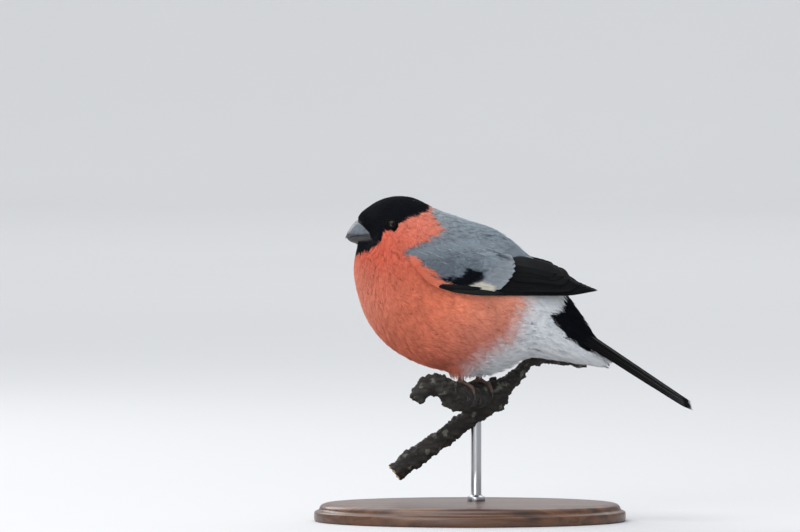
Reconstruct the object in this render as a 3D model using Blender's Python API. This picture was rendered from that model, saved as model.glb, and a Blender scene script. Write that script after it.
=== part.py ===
"""A still, life-size model of a male bullfinch that grips a short cut branch, held by a plain display stand.

Shapes are worked out in millimetres and turned into metres when a mesh is made. The bird faces -X and its
left side faces -Y. The bird's own origin is a point on the perch between its feet, and an empty holds that
point PERCH_HEIGHT above the table, so the model's origin is the middle of the stand's underside.
"""

import math
import random

import bmesh
import bpy
import numpy as np
from mathutils import Vector
from mathutils.bvhtree import BVHTree

MM = 0.001
GAP = 0.3
PERCH_HEIGHT = 57.5

# Body: a row for each station from the tail coverts to the bill's base. A station is the back point (x, z),
# the belly point (x, z) and half the width there.
BODY = (
    (52.4, 7.7, 51.2, 1.7, 2.6),
    (47.8, 14.4, 43.1, 3.0, 6.2),
    (42.6, 22.6, 33.1, 4.6, 9.8),
    (36.6, 31.2, 23.1, 5.6, 13.7),
    (29.4, 39.2, 14.6, 1.9, 17.6),
    (21.8, 45.6, 5.4, -0.8, 21.4),
    (14.2, 52.0, -5.0, 0.0, 24.0),
    (7.3, 55.8, -15.0, 1.7, 25.3),
    (0.0, 58.1, -24.6, 5.6, 25.4),
    (-6.2, 60.3, -33.1, 11.6, 24.5),
    (-11.2, 62.0, -39.7, 20.4, 22.4),
    (-15.0, 63.7, -43.3, 30.4, 19.8),
    (-18.9, 65.8, -44.7, 38.5, 17.3),
    (-23.5, 67.4, -44.4, 43.3, 15.4),
    (-29.3, 67.6, -44.1, 44.9, 13.8),
    (-34.6, 66.2, -43.9, 46.0, 12.1),
    (-38.9, 63.7, -43.7, 46.9, 9.8),
    (-41.8, 61.4, -43.6, 47.4, 7.4),
    (-43.3, 59.5, -43.4, 48.0, 5.4),
)
BODY_LEAN = -0.13
BODY_SIDES = 36
RING_STEP = 0.4
TAIL_END, TORSO_END, NECK_END, HEAD_END = 2.5, 9.8, 11.3, 18.0

# Bill: x, top, bottom and half width along each half, from the root inside the head to the tip.
BILL_UPPER = (
    (-39.2, 58.8, 53.3, 5.0),
    (-41.4, 58.8, 53.2, 4.7),
    (-43.0, 58.3, 53.0, 4.3),
    (-44.5, 57.2, 52.8, 3.7),
    (-45.9, 55.6, 52.6, 2.7),
    (-47.1, 53.8, 52.1, 1.5),
    (-47.9, 52.0, 51.5, 0.35),
)
BILL_LOWER = (
    (-39.2, 52.9, 49.3, 4.8),
    (-41.4, 52.8, 49.3, 4.5),
    (-43.0, 52.5, 49.4, 4.1),
    (-44.5, 52.2, 49.8, 3.4),
    (-45.8, 51.8, 50.2, 2.3),
    (-46.9, 51.2, 50.6, 0.5),
)
NOSTRIL_AT, NOSTRIL_RADIUS = (-42.9, 1.9, 57.6), 0.5

# Eye: its place in the side view, the ball, and the lid ring round it.
EYE_AT, EYE_RADIUS, EYE_DEPTH = (-30.1, 57.3), 2.4, 1.5
LID_LIFT, LID_RADIUS, LID_THICKNESS = 2.0, 2.0, 0.5

# Folded wing: x, lower edge, upper edge and thickness of its solid part, seen from the side.
WING_CORE = (
    (-23.6, 44.4, 47.0, 0.5),
    (-20.0, 39.9, 48.0, 1.1),
    (-15.4, 35.4, 48.9, 1.8),
    (-9.6, 31.6, 50.2, 2.2),
    (0.0, 29.9, 51.4, 2.3),
    (7.7, 29.5, 51.2, 2.3),
    (13.5, 29.4, 49.2, 2.2),
    (19.3, 29.4, 46.0, 1.9),
    (25.0, 29.6, 42.0, 1.2),
)
WING_CORE_EDGE = 0.6
WING_PLANE_AT, WING_PLANE_MOST = (27.0, 15.6, 31.0), 18.0
WING_PLANE_SLOPE = (0.49, 0.8)
VANE_THICKNESS, LAYER = 0.65, 0.3
VANE_STATIONS = ((0.0, 0.55), (0.25, 0.9), (0.6, 1.0), (0.82, 0.9), (0.94, 0.58), (1.0, 0.16))

# A row of flight feathers or coverts: how many, first and last root (x, z), first and last tip, half width,
# the first layer at the root and at the tip. Rows run from the lower edge of the wing to the upper one.
WING_ROWS = (
    ("primaries", 6, (-2.0, 31.7), (8.0, 33.4), (49.3, 30.9), (38.6, 37.2), 2.5, 3.0, 0.0),
    ("secondaries", 4, (8.0, 34.0), (10.0, 39.5), (41.8, 34.6), (38.0, 37.6), 3.0, 6.0, 6.0),
    ("tertials", 3, (11.5, 38.5), (13.0, 42.8), (38.9, 37.6), (32.6, 41.5), 3.0, 9.0, 9.5),
    ("primary_coverts", 3, (-13.0, 34.6), (-9.0, 36.4), (3.5, 31.6), (5.5, 33.4), 2.0, 5.5, 6.5),
    ("greater_coverts", 7, (-6.5, 33.6), (-1.0, 44.0), (8.6, 31.6), (17.4, 42.0), 2.7, 5.5, 8.0),
)

# Tail: where its middle feathers leave the coverts, the tip, and how the pairs spread and stack.
TAIL_ROOT, TAIL_TIP = (35.9, 19.4), (85.0, -12.3)
TAIL_PAIRS = 6
TAIL_HALF_WIDTH, TAIL_THICKNESS, TAIL_LAYER = 3.9, 0.75, 0.38
TAIL_ROOT_STEP, TAIL_TIP_STEP, TAIL_DROOP = 0.45, 1.35, 0.14

# Perch: centre line (x, y, z) and radius along its limb, its spur and its stub.
LIMB = (
    (-29.0, 8.0, -39.5, 3.6),
    (-20.5, 9.2, -33.0, 3.8),
    (-12.0, 10.0, -27.0, 3.6),
    (-4.5, 11.2, -21.5, 3.8),
    (2.5, 12.2, -16.5, 4.1),
    (8.0, 13.2, -11.5, 5.0),
    (11.5, 14.0, -8.6, 5.0),
)
SPUR = (
    (11.5, 14.0, -6.8, 5.2),
    (7.0, 12.8, -8.9, 4.6),
    (3.5, 7.8, -9.4, 4.4),
    (0.0, 0.0, -9.4, 4.4),
    (-3.5, -7.8, -9.4, 4.4),
    (-5.9, -13.2, -9.1, 4.4),
    (-11.0, -18.2, -4.6, 4.2),
    (-17.0, -20.5, -4.4, 3.6),
    (-20.5, -21.8, -10.0, 2.9),
)
STUB = (
    (11.5, 14.0, -8.0, 4.6),
    (17.0, 15.0, -3.2, 3.0),
    (22.0, 15.8, 2.4, 2.0),
    (28.0, 16.2, 4.3, 1.8),
    (37.0, 16.6, 3.2, 1.7),
    (45.5, 17.0, 1.8, 1.3),
)
PERCH_KNOBS = 11
FOOT_SPOTS = {"left": (-3.5, -7.8), "right": (3.5, 7.8)}
FOOT_CLEAR = 7.5

# Foot: toe thickness, how far round the perch the toes reach, and how they spread along it.
TOE_RADIUS, TOE_END_RADIUS, CLAW_END_RADIUS = 0.9, 0.62, 0.16
FRONT_TOE_ANGLE, BACK_TOE_ANGLE, CLAW_ANGLE = 84.0, 74.0, 34.0
TOE_SPREADS = (-3.4, 3.4)
ANKLE_TOP, LEG_RADIUS = -2.2, 1.15

# Stand
BASE_LENGTH, BASE_WIDTH, BASE_HEIGHT, BASE_BEVEL, BASE_SIDES = 120.0, 84.0, 7.0, 1.4, 64
ROD_AT, ROD_RADIUS = (2.5, 12.2), 2.0

COLOURS = {
    "cap": ((0.010, 0.012, 0.015), 0.55, 0.0),
    "breast": ((0.60, 0.16, 0.09), 0.9, 0.0),
    "mantle": ((0.20, 0.23, 0.26), 0.9, 0.0),
    "flight": ((0.012, 0.013, 0.018), 0.5, 0.0),
    "bill": ((0.05, 0.055, 0.06), 0.4, 0.0),
    "eye": ((0.008, 0.006, 0.005), 0.08, 0.0),
    "leg": ((0.11, 0.07, 0.055), 0.6, 0.0),
    "bark": ((0.055, 0.045, 0.04), 0.9, 0.0),
    "wood": ((0.09, 0.05, 0.03), 0.45, 0.0),
    "steel": ((0.55, 0.55, 0.56), 0.35, 1.0),
}


# Curves and small sums


def spline(rows, t):
    """A smooth curve through the rows, read at t, where row number n is at t = n."""
    rows = np.asarray(rows, float)
    t = min(max(t, 0.0), len(rows) - 1.0)
    i = min(int(t), len(rows) - 2)
    u = t - i
    before, start = rows[max(i - 1, 0)], rows[i]
    end, after = rows[i + 1], rows[min(i + 2, len(rows) - 1)]
    rise, fall = (end - before) / 2, (after - start) / 2
    return (
        (2 * u**3 - 3 * u**2 + 1) * start
        + (u**3 - 2 * u**2 + u) * rise
        + (3 * u**2 - 2 * u**3) * end
        + (u**3 - u**2) * fall
    )


def between(first, last, share):
    return np.asarray(first, float) * (1 - share) + np.asarray(last, float) * share


def soft_max(a, b, blend=1.5):
    near = max(blend - abs(a - b), 0.0) / blend
    return max(a, b) + near * near * blend / 4


def unit(vector):
    return vector / np.linalg.norm(vector)


# Meshes and joining


def loft(rings):
    """Points and faces of a closed skin over rings of equally many points, with a fan over each end."""
    sides = len(rings[0])
    points = [tuple(p) for ring in rings for p in ring]
    faces = []
    for r in range(len(rings) - 1):
        for s in range(sides):
            a, b = r * sides + s, r * sides + (s + 1) % sides
            faces += [(a, b, b + sides), (a, b + sides, a + sides)]
    for ring, start, turned in ((rings[0], 0, True), (rings[-1], (len(rings) - 1) * sides, False)):
        middle = len(points)
        points.append(tuple(np.mean(ring, axis=0)))
        for s in range(sides):
            a, b = start + s, start + (s + 1) % sides
            faces.append((b, a, middle) if turned else (a, b, middle))
    return points, faces


def material(name):
    found = bpy.data.materials.new(name)
    colour, roughness, metallic = COLOURS[name.split(".")[0]]
    found.use_nodes = True
    shader = found.node_tree.nodes["Principled BSDF"]
    shader.inputs["Base Color"].default_value = (*colour, 1.0)
    shader.inputs["Roughness"].default_value = roughness
    shader.inputs["Metallic"].default_value = metallic
    found.diffuse_color = (*colour, 1.0)
    return found


def solid(name, points, faces):
    """A closed mesh object from points in millimetres, with its faces turned to point out."""
    mesh = bpy.data.meshes.new(name)
    mesh.from_pydata([tuple(c * MM for c in p) for p in points], [], faces)
    bm = bmesh.new()
    bm.from_mesh(mesh)
    bmesh.ops.recalc_face_normals(bm, faces=bm.faces)
    if bm.calc_volume(signed=True) < 0:
        bmesh.ops.reverse_faces(bm, faces=bm.faces)
    bm.to_mesh(mesh)
    bm.free()
    found = bpy.data.objects.new(name, mesh)
    bpy.context.scene.collection.objects.link(found)
    return found


def boolean(body, others, operation, solver="EXACT"):
    """Joins the others to the body or cuts them from it, by one Boolean on a collection, and drops them."""
    group = bpy.data.collections.new("joined")
    bpy.context.scene.collection.children.link(group)
    for other in others:
        bpy.context.scene.collection.objects.unlink(other)
        group.objects.link(other)
    modifier = body.modifiers.new("join", "BOOLEAN")
    modifier.operation = operation
    modifier.operand_type = "COLLECTION"
    modifier.collection = group
    modifier.solver = solver
    bpy.context.view_layer.update()
    graph = bpy.context.evaluated_depsgraph_get()
    made = bpy.data.meshes.new_from_object(body.evaluated_get(graph))
    body.modifiers.clear()
    body.data = made
    for other in others:
        bpy.data.objects.remove(other)
    bpy.data.collections.remove(group)
    keep_largest(body)
    return body


def keep_largest(body):
    """Leaves only the largest closed surface of a mesh, so no scrap or sealed hollow stays."""
    bm = bmesh.new()
    bm.from_mesh(body.data)
    left, groups = set(bm.faces), []
    while left:
        stack, group = [left.pop()], []
        while stack:
            face = stack.pop()
            group.append(face)
            for edge in face.edges:
                for near in edge.link_faces:
                    if near in left:
                        left.remove(near)
                        stack.append(near)
        groups.append(group)
    groups.sort(key=lambda group: -sum(face.calc_area() for face in group))
    for group in groups[1:]:
        bmesh.ops.delete(bm, geom=group, context="FACES")
    bm.to_mesh(body.data)
    bm.free()


def finish(body, name, colour, parent):
    """Names a node, gives it its own material, and shades it smooth with its sharp edges kept."""
    body.name = name
    body.data.name = name
    body.data.materials.clear()
    body.data.materials.append(material(f"{colour}.{name}"))
    body.data.shade_smooth()
    body.data.set_sharp_from_angle(angle=math.radians(40))
    body.parent = parent
    return body


def surface_of(body):
    """A search tree of the mesh, in metres and before its parent's lift, for casting rays."""
    graph_mesh = bmesh.new()
    graph_mesh.from_mesh(body.data)
    tree = BVHTree.FromBMesh(graph_mesh)
    graph_mesh.free()
    return tree


def cast(tree, start, direction):
    """Where a ray from a point in millimetres meets the surface, or None."""
    hit = tree.ray_cast(Vector(start) * MM, Vector(direction))[0]
    return None if hit is None else np.array(hit) / MM


def tube(rows, sides, step=1.0, rough=0.0, seed=0):
    """A closed tube along rows of centre point and radius, with a seeded unevenness of its radius."""
    draw = random.Random(seed)
    count = round((len(rows) - 1) / step) + 1
    places = [spline(rows, (len(rows) - 1) * i / (count - 1)) for i in range(count)]
    rings, across = [], None
    for i, place in enumerate(places):
        ahead = unit(places[min(i + 1, count - 1)][:3] - places[max(i - 1, 0)][:3])
        start = np.array((0.3, 0.1, 0.95)) if across is None else across
        across = unit(start - ahead * start.dot(ahead))
        second = np.cross(ahead, across)
        ring = []
        for s in range(sides):
            angle = 2 * math.pi * s / sides
            radius = place[3] * (1 + rough * draw.uniform(-1, 1))
            ring.append(place[:3] + radius * (math.cos(angle) * across + math.sin(angle) * second))
        rings.append(ring)
    return loft(rings)


def ball(centre, radius, rings=8, sides=16, axis=(0.0, 0.0, 1.0)):
    """A sphere in millimetres, with its poles on the axis."""
    axis = unit(np.asarray(axis, float))
    first = unit(np.cross(axis, (0.31, 0.82, 0.47)))
    second = np.cross(axis, first)
    made = []
    for r in range(1, rings):
        angle = math.pi * r / rings
        out = radius * math.sin(angle)
        middle = np.asarray(centre) - axis * radius * math.cos(angle)
        turn = [2 * math.pi * s / sides for s in range(sides)]
        made.append([middle + out * (math.cos(a) * first + math.sin(a) * second) for a in turn])
    points, faces = loft(made)
    points[-2] = tuple(np.asarray(centre) - axis * radius)
    points[-1] = tuple(np.asarray(centre) + axis * radius)
    return points, faces


# Body


def body_point(t, angle, grow=0.0):
    """A point of the body's surface. Angle 0 is the back, a right angle is the bird's right side."""
    back_x, back_z, belly_x, belly_z, half_width = spline(BODY, t)
    along = math.cos(angle) + BODY_LEAN * math.sin(angle) ** 2
    x = (back_x + belly_x) / 2 + (back_x - belly_x) / 2 * along
    z = (back_z + belly_z) / 2 + (back_z - belly_z) / 2 * along
    point = np.array((x, half_width * math.sin(angle), z))
    return point + grow * body_normal(t, angle) if grow else point


def body_normal(t, angle):
    nudge = 0.02
    low, high = max(t - nudge, 0.0), min(t + nudge, len(BODY) - 1.0)
    forward = body_point(high, angle) - body_point(low, angle)
    round_it = body_point(t, angle + nudge) - body_point(t, angle - nudge)
    return unit(np.cross(round_it, forward))


def body_ring(t, grow=0.0):
    return [body_point(t, 2 * math.pi * s / BODY_SIDES, grow) for s in range(BODY_SIDES)]


def ring_times(start, end):
    """Where the rings between two cuts lie, none nearer to a cut than half a step."""
    steps = [n * RING_STEP for n in range(1, int(HEAD_END / RING_STEP) + 1)]
    return [t for t in steps if start + RING_STEP / 2 < t < end - RING_STEP / 2]


def cut_ring(t, side):
    """The ring at a cut between two nodes, moved half the gap to one side of it."""
    back_x, back_z, belly_x, belly_z, _ = spline(BODY, t)
    across = unit(np.array((back_x - belly_x, 0.0, back_z - belly_z)))
    ahead = np.array((-across[2], 0.0, across[0]))
    return [point + side * GAP / 2 * ahead for point in body_ring(t)]


def body_part(name, start, end):
    """One length of the body between two flat cuts."""
    first = cut_ring(start, 1) if start > 0 else body_ring(0)
    last = cut_ring(end, -1) if end < HEAD_END else body_ring(HEAD_END)
    rings = [first, *(body_ring(t) for t in ring_times(start, end)), last]
    return solid(name, *loft(rings))


def grown_body():
    """The whole body grown by the gap, which cuts anything that lies on it clear of it."""
    rings = [body_ring(t, GAP + 0.03) for t in [0.0, *ring_times(0.0, HEAD_END), HEAD_END]]
    return solid("grown", *loft(rings))


# Head


def bill_half(rows, upper, grow=0.0):
    """Half of the bill: flat where the halves meet, arched on its other side."""
    rings = []
    steps = 10
    for i in range(steps + 1):
        x, top, bottom, half_width = spline(rows, (len(rows) - 1) * i / steps)
        x += grow if i == 0 else 0.0
        half_width += grow
        top += grow
        bottom -= grow
        height = top - bottom
        ring = []
        for s in range(13):
            angle = math.pi * (s / 12 - 0.5)
            rise = abs(math.cos(angle)) ** 0.85 * height
            ring.append((x, half_width * math.sin(angle), bottom + rise if upper else top - rise))
        rings.append(ring)
    return loft(rings)


def eye_place(side, tree):
    """The eye ball's centre and the way it looks, from the head's surface at the eye."""
    start = (EYE_AT[0], side * 60.0, EYE_AT[1])
    hit = cast(tree, start, (0, -side, 0))
    normal = np.array(tree.find_nearest(Vector(hit) * MM)[1])
    return hit - normal * EYE_DEPTH, normal


def lid_ring(centre, normal):
    """A ring of lid round the eye, which the socket is then cut through."""
    first = unit(np.cross(normal, (0.0, 0.0, 1.0)))
    second = np.cross(normal, first)
    rows, sides, tube_sides = [], 16, 6
    for s in range(sides):
        turn = 2 * math.pi * s / sides
        out = math.cos(turn) * first + math.sin(turn) * second * 0.92
        middle = centre + normal * (LID_LIFT - 0.35) + out * LID_RADIUS
        ring = []
        for k in range(tube_sides):
            angle = 2 * math.pi * k / tube_sides
            ring.append(middle + LID_THICKNESS * (math.cos(angle) * out + math.sin(angle) * normal))
        rows.append(ring)
    points = [tuple(p) for ring in rows for p in ring]
    faces = []
    for s in range(sides):
        for k in range(tube_sides):
            a, b = s * tube_sides + k, s * tube_sides + (k + 1) % tube_sides
            c, d = (s + 1) % sides * tube_sides + (k + 1) % tube_sides, (s + 1) % sides * tube_sides + k
            faces += [(a, b, c), (a, c, d)]
    return points, faces


def build_head(parent):
    head = body_part("head", NECK_END, HEAD_END)
    tree = surface_of(head)
    eyes = {name: eye_place(side, tree) for name, side in (("left", -1), ("right", 1))}
    lids = [solid("lid", *lid_ring(*eye)) for eye in eyes.values()]
    boolean(head, lids, "UNION")
    cutters = [solid("socket", *ball(c, EYE_RADIUS + GAP, 9, 16, n)) for c, n in eyes.values()]
    roots = zip(BILL_UPPER[:4], BILL_LOWER[:4])
    whole_bill = [(x, top, low, half_width) for (x, top, _, half_width), (_, _, low, _) in roots]
    cutters.append(solid("bill_socket", *bill_socket(whole_bill)))
    boolean(head, cutters, "DIFFERENCE")
    finish(head, "head", "cap", parent)
    for name, (centre, normal) in eyes.items():
        finish(solid("eye", *ball(centre, EYE_RADIUS, 10, 18, normal)), f"eye_{name}", "eye", parent)
    upper = solid("upper", *bill_half(BILL_UPPER, True))
    x, y, z = NOSTRIL_AT
    pits = [solid("pit", *ball((x, side * y, z), NOSTRIL_RADIUS, 5, 8)) for side in (-1, 1)]
    boolean(upper, pits, "DIFFERENCE")
    finish(upper, "bill_upper", "bill", parent)
    finish(solid("lower", *bill_half(BILL_LOWER, False)), "bill_lower", "bill", parent)


def bill_socket(rows):
    """The hole in the face that the bill's root sits in, a gap wider than the bill all round."""
    rings = []
    for i, (x, top, bottom, half_width) in enumerate(rows):
        middle, half_height = (top + bottom) / 2, (top - bottom) / 2 + GAP + 0.05
        ring = []
        for s in range(20):
            angle = 2 * math.pi * s / 20
            y = (half_width + GAP + 0.05) * math.copysign(abs(math.sin(angle)) ** 0.72, math.sin(angle))
            z = middle + half_height * math.copysign(abs(math.cos(angle)) ** 0.9, math.cos(angle))
            ring.append((x + (GAP if i == 0 else 0.0), y, z))
        rings.append(ring)
    return loft(rings)


# Wings


class WingSurface:
    """The surface that a folded wing lies on: the body's side, and a plane behind and above it."""

    def __init__(self, tree):
        self.tree = tree

    def out(self, x, z):
        hit = cast(self.tree, (x, 80.0, z), (0, -1, 0))
        side = -20.0 if hit is None else hit[1] + GAP
        at_x, at_y, at_z = WING_PLANE_AT
        plane = at_y - WING_PLANE_SLOPE[0] * (x - at_x) - WING_PLANE_SLOPE[1] * (z - at_z)
        return soft_max(side, min(plane, WING_PLANE_MOST))


def vane(surface, side, root, tip, half_width, root_lift, tip_lift):
    """One flat feather on the wing's surface, from its root to its rounded tip."""
    root, tip = np.asarray(root), np.asarray(tip)
    along = unit(tip - root)
    across = np.array((-along[1], along[0]))
    rings = []
    for share, width in VANE_STATIONS:
        middle = between(root, tip, share)
        lift = root_lift + (tip_lift - root_lift) * min(share / 0.35, 1.0)
        thick = VANE_THICKNESS * (1.0 if share < 0.9 else 0.6)
        low, high = middle - across * half_width * width, middle + across * half_width * width
        ring = []
        for (x, z), up in ((low, -0.5), (high, -0.5), (high, 0.5), (low, 0.5)):
            ring.append((x, side * (surface.out(x, z) + lift + up * thick), z))
        rings.append(ring)
    return loft(rings)


def wing_core(surface, side):
    """The solid part of the folded wing: shoulder, scapular feathers and small coverts."""
    rings = []
    steps = 12
    for i in range(steps + 1):
        x, low, high, thickness = spline(WING_CORE, (len(WING_CORE) - 1) * i / steps)
        outer, inner = [], []
        for s in range(10):
            share = (1 - math.cos(math.pi * s / 9)) / 2
            z = low + (high - low) * share
            base = surface.out(x, z)
            swell = (4 * share * (1 - share)) ** 0.4
            outer.append((x, side * (base + WING_CORE_EDGE + (thickness - WING_CORE_EDGE) * swell), z))
            inner.append((x, side * (base - 0.8), z))
        rings.append(outer + inner[::-1])
    return loft(rings)


def build_wing(name, side, surface, parent):
    wing = solid(name, *wing_core(surface, side))
    vanes = []
    for _, count, root_a, root_b, tip_a, tip_b, half_width, root_layer, tip_layer in WING_ROWS:
        for i in range(count):
            share = i / (count - 1)
            lifts = (0.4 + LAYER * (root_layer + 0.4 * i), 0.4 + LAYER * (tip_layer + i))
            ends = between(root_a, root_b, share), between(tip_a, tip_b, share)
            vanes.append(solid("vane", *vane(surface, side, *ends, half_width, *lifts)))
    boolean(wing, vanes, "UNION")
    boolean(wing, [grown_body()], "DIFFERENCE")
    finish(wing, name, "mantle", parent)


# Tail


def tail_vane(pair, side):
    """One tail feather. The middle pair lies on top, and each pair outside it lies lower."""
    root, tip = np.asarray(TAIL_ROOT), np.asarray(TAIL_TIP)
    along = unit(tip - root)
    up = np.array((-along[1], along[0]))
    length = np.linalg.norm(tip - root) + 0.45 * pair
    drop = TAIL_LAYER * (pair + (0.4 if side > 0 else 0.0))
    rings = []
    for share, width in VANE_STATIONS:
        middle_y = side * (0.8 + pair * (TAIL_ROOT_STEP + (TAIL_TIP_STEP - TAIL_ROOT_STEP) * share))
        half = TAIL_HALF_WIDTH * width * (0.62 + 0.38 * share if share < 0.9 else 1.0)
        thick = TAIL_THICKNESS * (1.0 if share < 0.9 else 0.6)
        ring = []
        for y, lift in ((-half, -0.5), (half, -0.5), (half, 0.5), (-half, 0.5)):
            place_y = middle_y + y
            x, z = root + along * length * share + up * (lift * thick - drop - TAIL_DROOP * abs(place_y))
            ring.append((x, place_y, z))
        rings.append(ring)
    return loft(rings)


def build_tail(parent):
    tail = body_part("tail", 0.0, TAIL_END)
    vanes = [solid("vane", *tail_vane(pair, side)) for pair in range(TAIL_PAIRS) for side in (-1, 1)]
    boolean(tail, vanes, "UNION", "MANIFOLD")
    finish(tail, "tail", "flight", parent)


# Perch, feet and legs


def build_perch(parent):
    draw = random.Random(11)
    perch = solid("limb", *tube(LIMB, 12, 0.34, 0.05, 1))
    pieces = [solid("spur", *tube(SPUR, 14, 0.5)), solid("stub", *tube(STUB, 9, 0.5, 0.06, 3))]
    spots = list(FOOT_SPOTS.values())
    while len(pieces) < PERCH_KNOBS + 2:
        rows = draw.choice((LIMB, SPUR, SPUR, STUB[:4]))
        x, y, z, radius = spline(rows, draw.uniform(0.4, len(rows) - 1.3))
        angle = draw.uniform(0, 2 * math.pi)
        size = radius * draw.uniform(0.32, 0.5)
        across = 0.6 * radius
        centre = np.array((x + across * math.cos(angle), y + across * math.sin(angle), z - 0.45 * radius))
        if min(math.dist(centre[:2], spot) for spot in spots) > FOOT_CLEAR:
            pieces.append(solid("knob", *ball(centre, size + 0.7, 5, 8)))
    boolean(perch, pieces, "UNION")
    return finish(perch, "perch", "bark", parent)


def toe(spot, forward, spread, reach, thickness):
    """A toe and its claw, wrapped round the perch from on top of it."""
    along = unit(np.array((SPUR[2][0] - SPUR[4][0], SPUR[2][1] - SPUR[4][1], 0.0)))
    ahead = np.cross((0.0, 0.0, 1.0), along) * forward
    axis_z, perch_radius = SPUR[3][2], SPUR[3][3]
    centre = np.array((*spot, axis_z))
    rows = []
    for i in range(11):
        share = i / 10
        angle = math.radians(reach + CLAW_ANGLE) * share
        in_claw = max(0.0, (share * (reach + CLAW_ANGLE) - reach) / CLAW_ANGLE)
        knuckle = 1 + 0.1 * math.cos(angle * 7.5) * (1 - in_claw)
        radius = thickness * knuckle + (TOE_END_RADIUS - thickness) * min(share * 1.2, 1.0)
        if in_claw > 0:
            radius = TOE_END_RADIUS * 0.8 + (CLAW_END_RADIUS - TOE_END_RADIUS * 0.8) * in_claw
        out = perch_radius + GAP + radius + 0.12 + 0.5 * math.sin(math.pi * in_claw)
        shift = along * spread * min(angle / 1.4, 1.0)
        turned = ahead * math.sin(angle) + np.array((0.0, 0.0, math.cos(angle)))
        rows.append((*(centre + shift + out * turned), radius))
    return tube(rows, 8)


def build_leg(name, spot, torso_tree, parent):
    foot = solid(name, *toe(spot, 1, 0.0, FRONT_TOE_ANGLE + 6, TOE_RADIUS))
    side_toes = [toe(spot, 1, spread, FRONT_TOE_ANGLE, TOE_RADIUS * 0.92) for spread in TOE_SPREADS]
    pieces = [solid("toe", *shape) for shape in side_toes]
    pieces.append(solid("hallux", *toe(spot, -1, 0.4, BACK_TOE_ANGLE, TOE_RADIUS * 1.05)))
    pad_z = SPUR[3][2] + SPUR[3][3] + GAP + TOE_RADIUS + 0.1
    pieces.append(solid("ankle", *tube(((*spot, pad_z, 1.35), (*spot, ANKLE_TOP, LEG_RADIUS)), 10)))
    boolean(foot, pieces, "UNION")
    finish(foot, f"foot_{name}", "leg", parent)
    low, high = [], []
    for s in range(10):
        angle = 2 * math.pi * s / 10
        x, y = spot[0] + LEG_RADIUS * math.cos(angle), spot[1] + LEG_RADIUS * math.sin(angle)
        low.append((x, y, ANKLE_TOP + GAP))
        high.append((x, y, cast(torso_tree, (x, y, -3.0), (0, 0, 1))[2] - GAP))
    finish(solid(name, *loft([low, high])), f"leg_{name}", "leg", parent)


# Stand


def build_stand(perch_tree, parent):
    def oval(z, inset):
        turn = [2 * math.pi * s / BASE_SIDES for s in range(BASE_SIDES)]
        long, wide = BASE_LENGTH / 2 - inset, BASE_WIDTH / 2 - inset
        return [(long * math.cos(a), wide * math.sin(a), z) for a in turn]

    low, high = -PERCH_HEIGHT, BASE_HEIGHT - PERCH_HEIGHT
    rings = [oval(low, 0.5), oval(low + 0.5, 0.0), oval(high - BASE_BEVEL, 0.0)]
    rings += [oval(high - BASE_BEVEL / 3, BASE_BEVEL / 3), oval(high, BASE_BEVEL)]
    finish(solid("base", *loft(rings)), "stand_base", "wood", parent)
    rings = []
    for share, on_base in ((1.0, True), (1.0, False), (0.55, False), (0.2, False)):
        ring = []
        for s in range(20):
            angle = 2 * math.pi * s / 20
            x = ROD_AT[0] + ROD_RADIUS * share * math.cos(angle)
            y = ROD_AT[1] + ROD_RADIUS * share * math.sin(angle)
            under = cast(perch_tree, (x, y, high + 1), (0, 0, 1))[2]
            ring.append((x, y, high + GAP if on_base else under - GAP - 0.05))
        rings.append(ring)
    finish(solid("rod", *loft(rings)), "stand_rod", "steel", parent)


def main():
    for found in list(bpy.data.objects):
        bpy.data.objects.remove(found)
    bird = bpy.data.objects.new("perch_point", None)
    bpy.context.scene.collection.objects.link(bird)
    bird.location = (0.0, 0.0, PERCH_HEIGHT * MM)

    times = [0.0, *ring_times(0.0, HEAD_END), HEAD_END]
    whole = solid("whole", *loft([body_ring(t) for t in times]))
    surface = WingSurface(surface_of(whole))
    bpy.data.objects.remove(whole)

    build_head(bird)
    finish(body_part("neck", TORSO_END, NECK_END), "neck", "breast", bird)
    torso = finish(body_part("torso", TAIL_END, TORSO_END), "torso", "breast", bird)
    build_tail(bird)
    build_wing("wing_left", -1, surface, bird)
    build_wing("wing_right", 1, surface, bird)
    perch = build_perch(bird)
    for name, spot in FOOT_SPOTS.items():
        build_leg(name, spot, surface_of(torso), bird)
    build_stand(surface_of(perch), bird)


main()
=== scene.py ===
"""The looks of the bullfinch model: skin, feathers, bill, eyes, feet, perch and stand, light and camera.

Shapes are worked out in millimetres in the bird's own frame, whose origin is a point on the perch between the
feet. The bird faces -X and its left side faces -Y, towards the camera. Places that were read from the
photograph are written as pixels of it and turned into the side view's x and z by from_photo.
"""

import math

import bpy
import numpy as np
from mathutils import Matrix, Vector
from mathutils.bvhtree import BVHTree


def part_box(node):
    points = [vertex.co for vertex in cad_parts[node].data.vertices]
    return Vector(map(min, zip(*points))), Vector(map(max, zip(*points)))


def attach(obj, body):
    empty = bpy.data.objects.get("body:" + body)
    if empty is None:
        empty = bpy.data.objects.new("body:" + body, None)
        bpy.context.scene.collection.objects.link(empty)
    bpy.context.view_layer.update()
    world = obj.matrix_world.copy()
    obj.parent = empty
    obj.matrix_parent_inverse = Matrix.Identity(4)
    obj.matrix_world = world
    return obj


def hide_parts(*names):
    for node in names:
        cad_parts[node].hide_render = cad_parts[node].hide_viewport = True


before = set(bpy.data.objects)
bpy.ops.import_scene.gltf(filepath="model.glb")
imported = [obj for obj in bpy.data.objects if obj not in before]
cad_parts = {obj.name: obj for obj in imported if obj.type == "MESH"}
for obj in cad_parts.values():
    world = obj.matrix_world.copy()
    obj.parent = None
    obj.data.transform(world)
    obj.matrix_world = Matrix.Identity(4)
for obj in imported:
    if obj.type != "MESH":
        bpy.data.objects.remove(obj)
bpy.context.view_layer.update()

MM = 0.001
SIDES = {"left": -1, "right": 1}
# How high the bird's origin lies over the frame's.
PERCH_HEIGHT = 57.5
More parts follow.
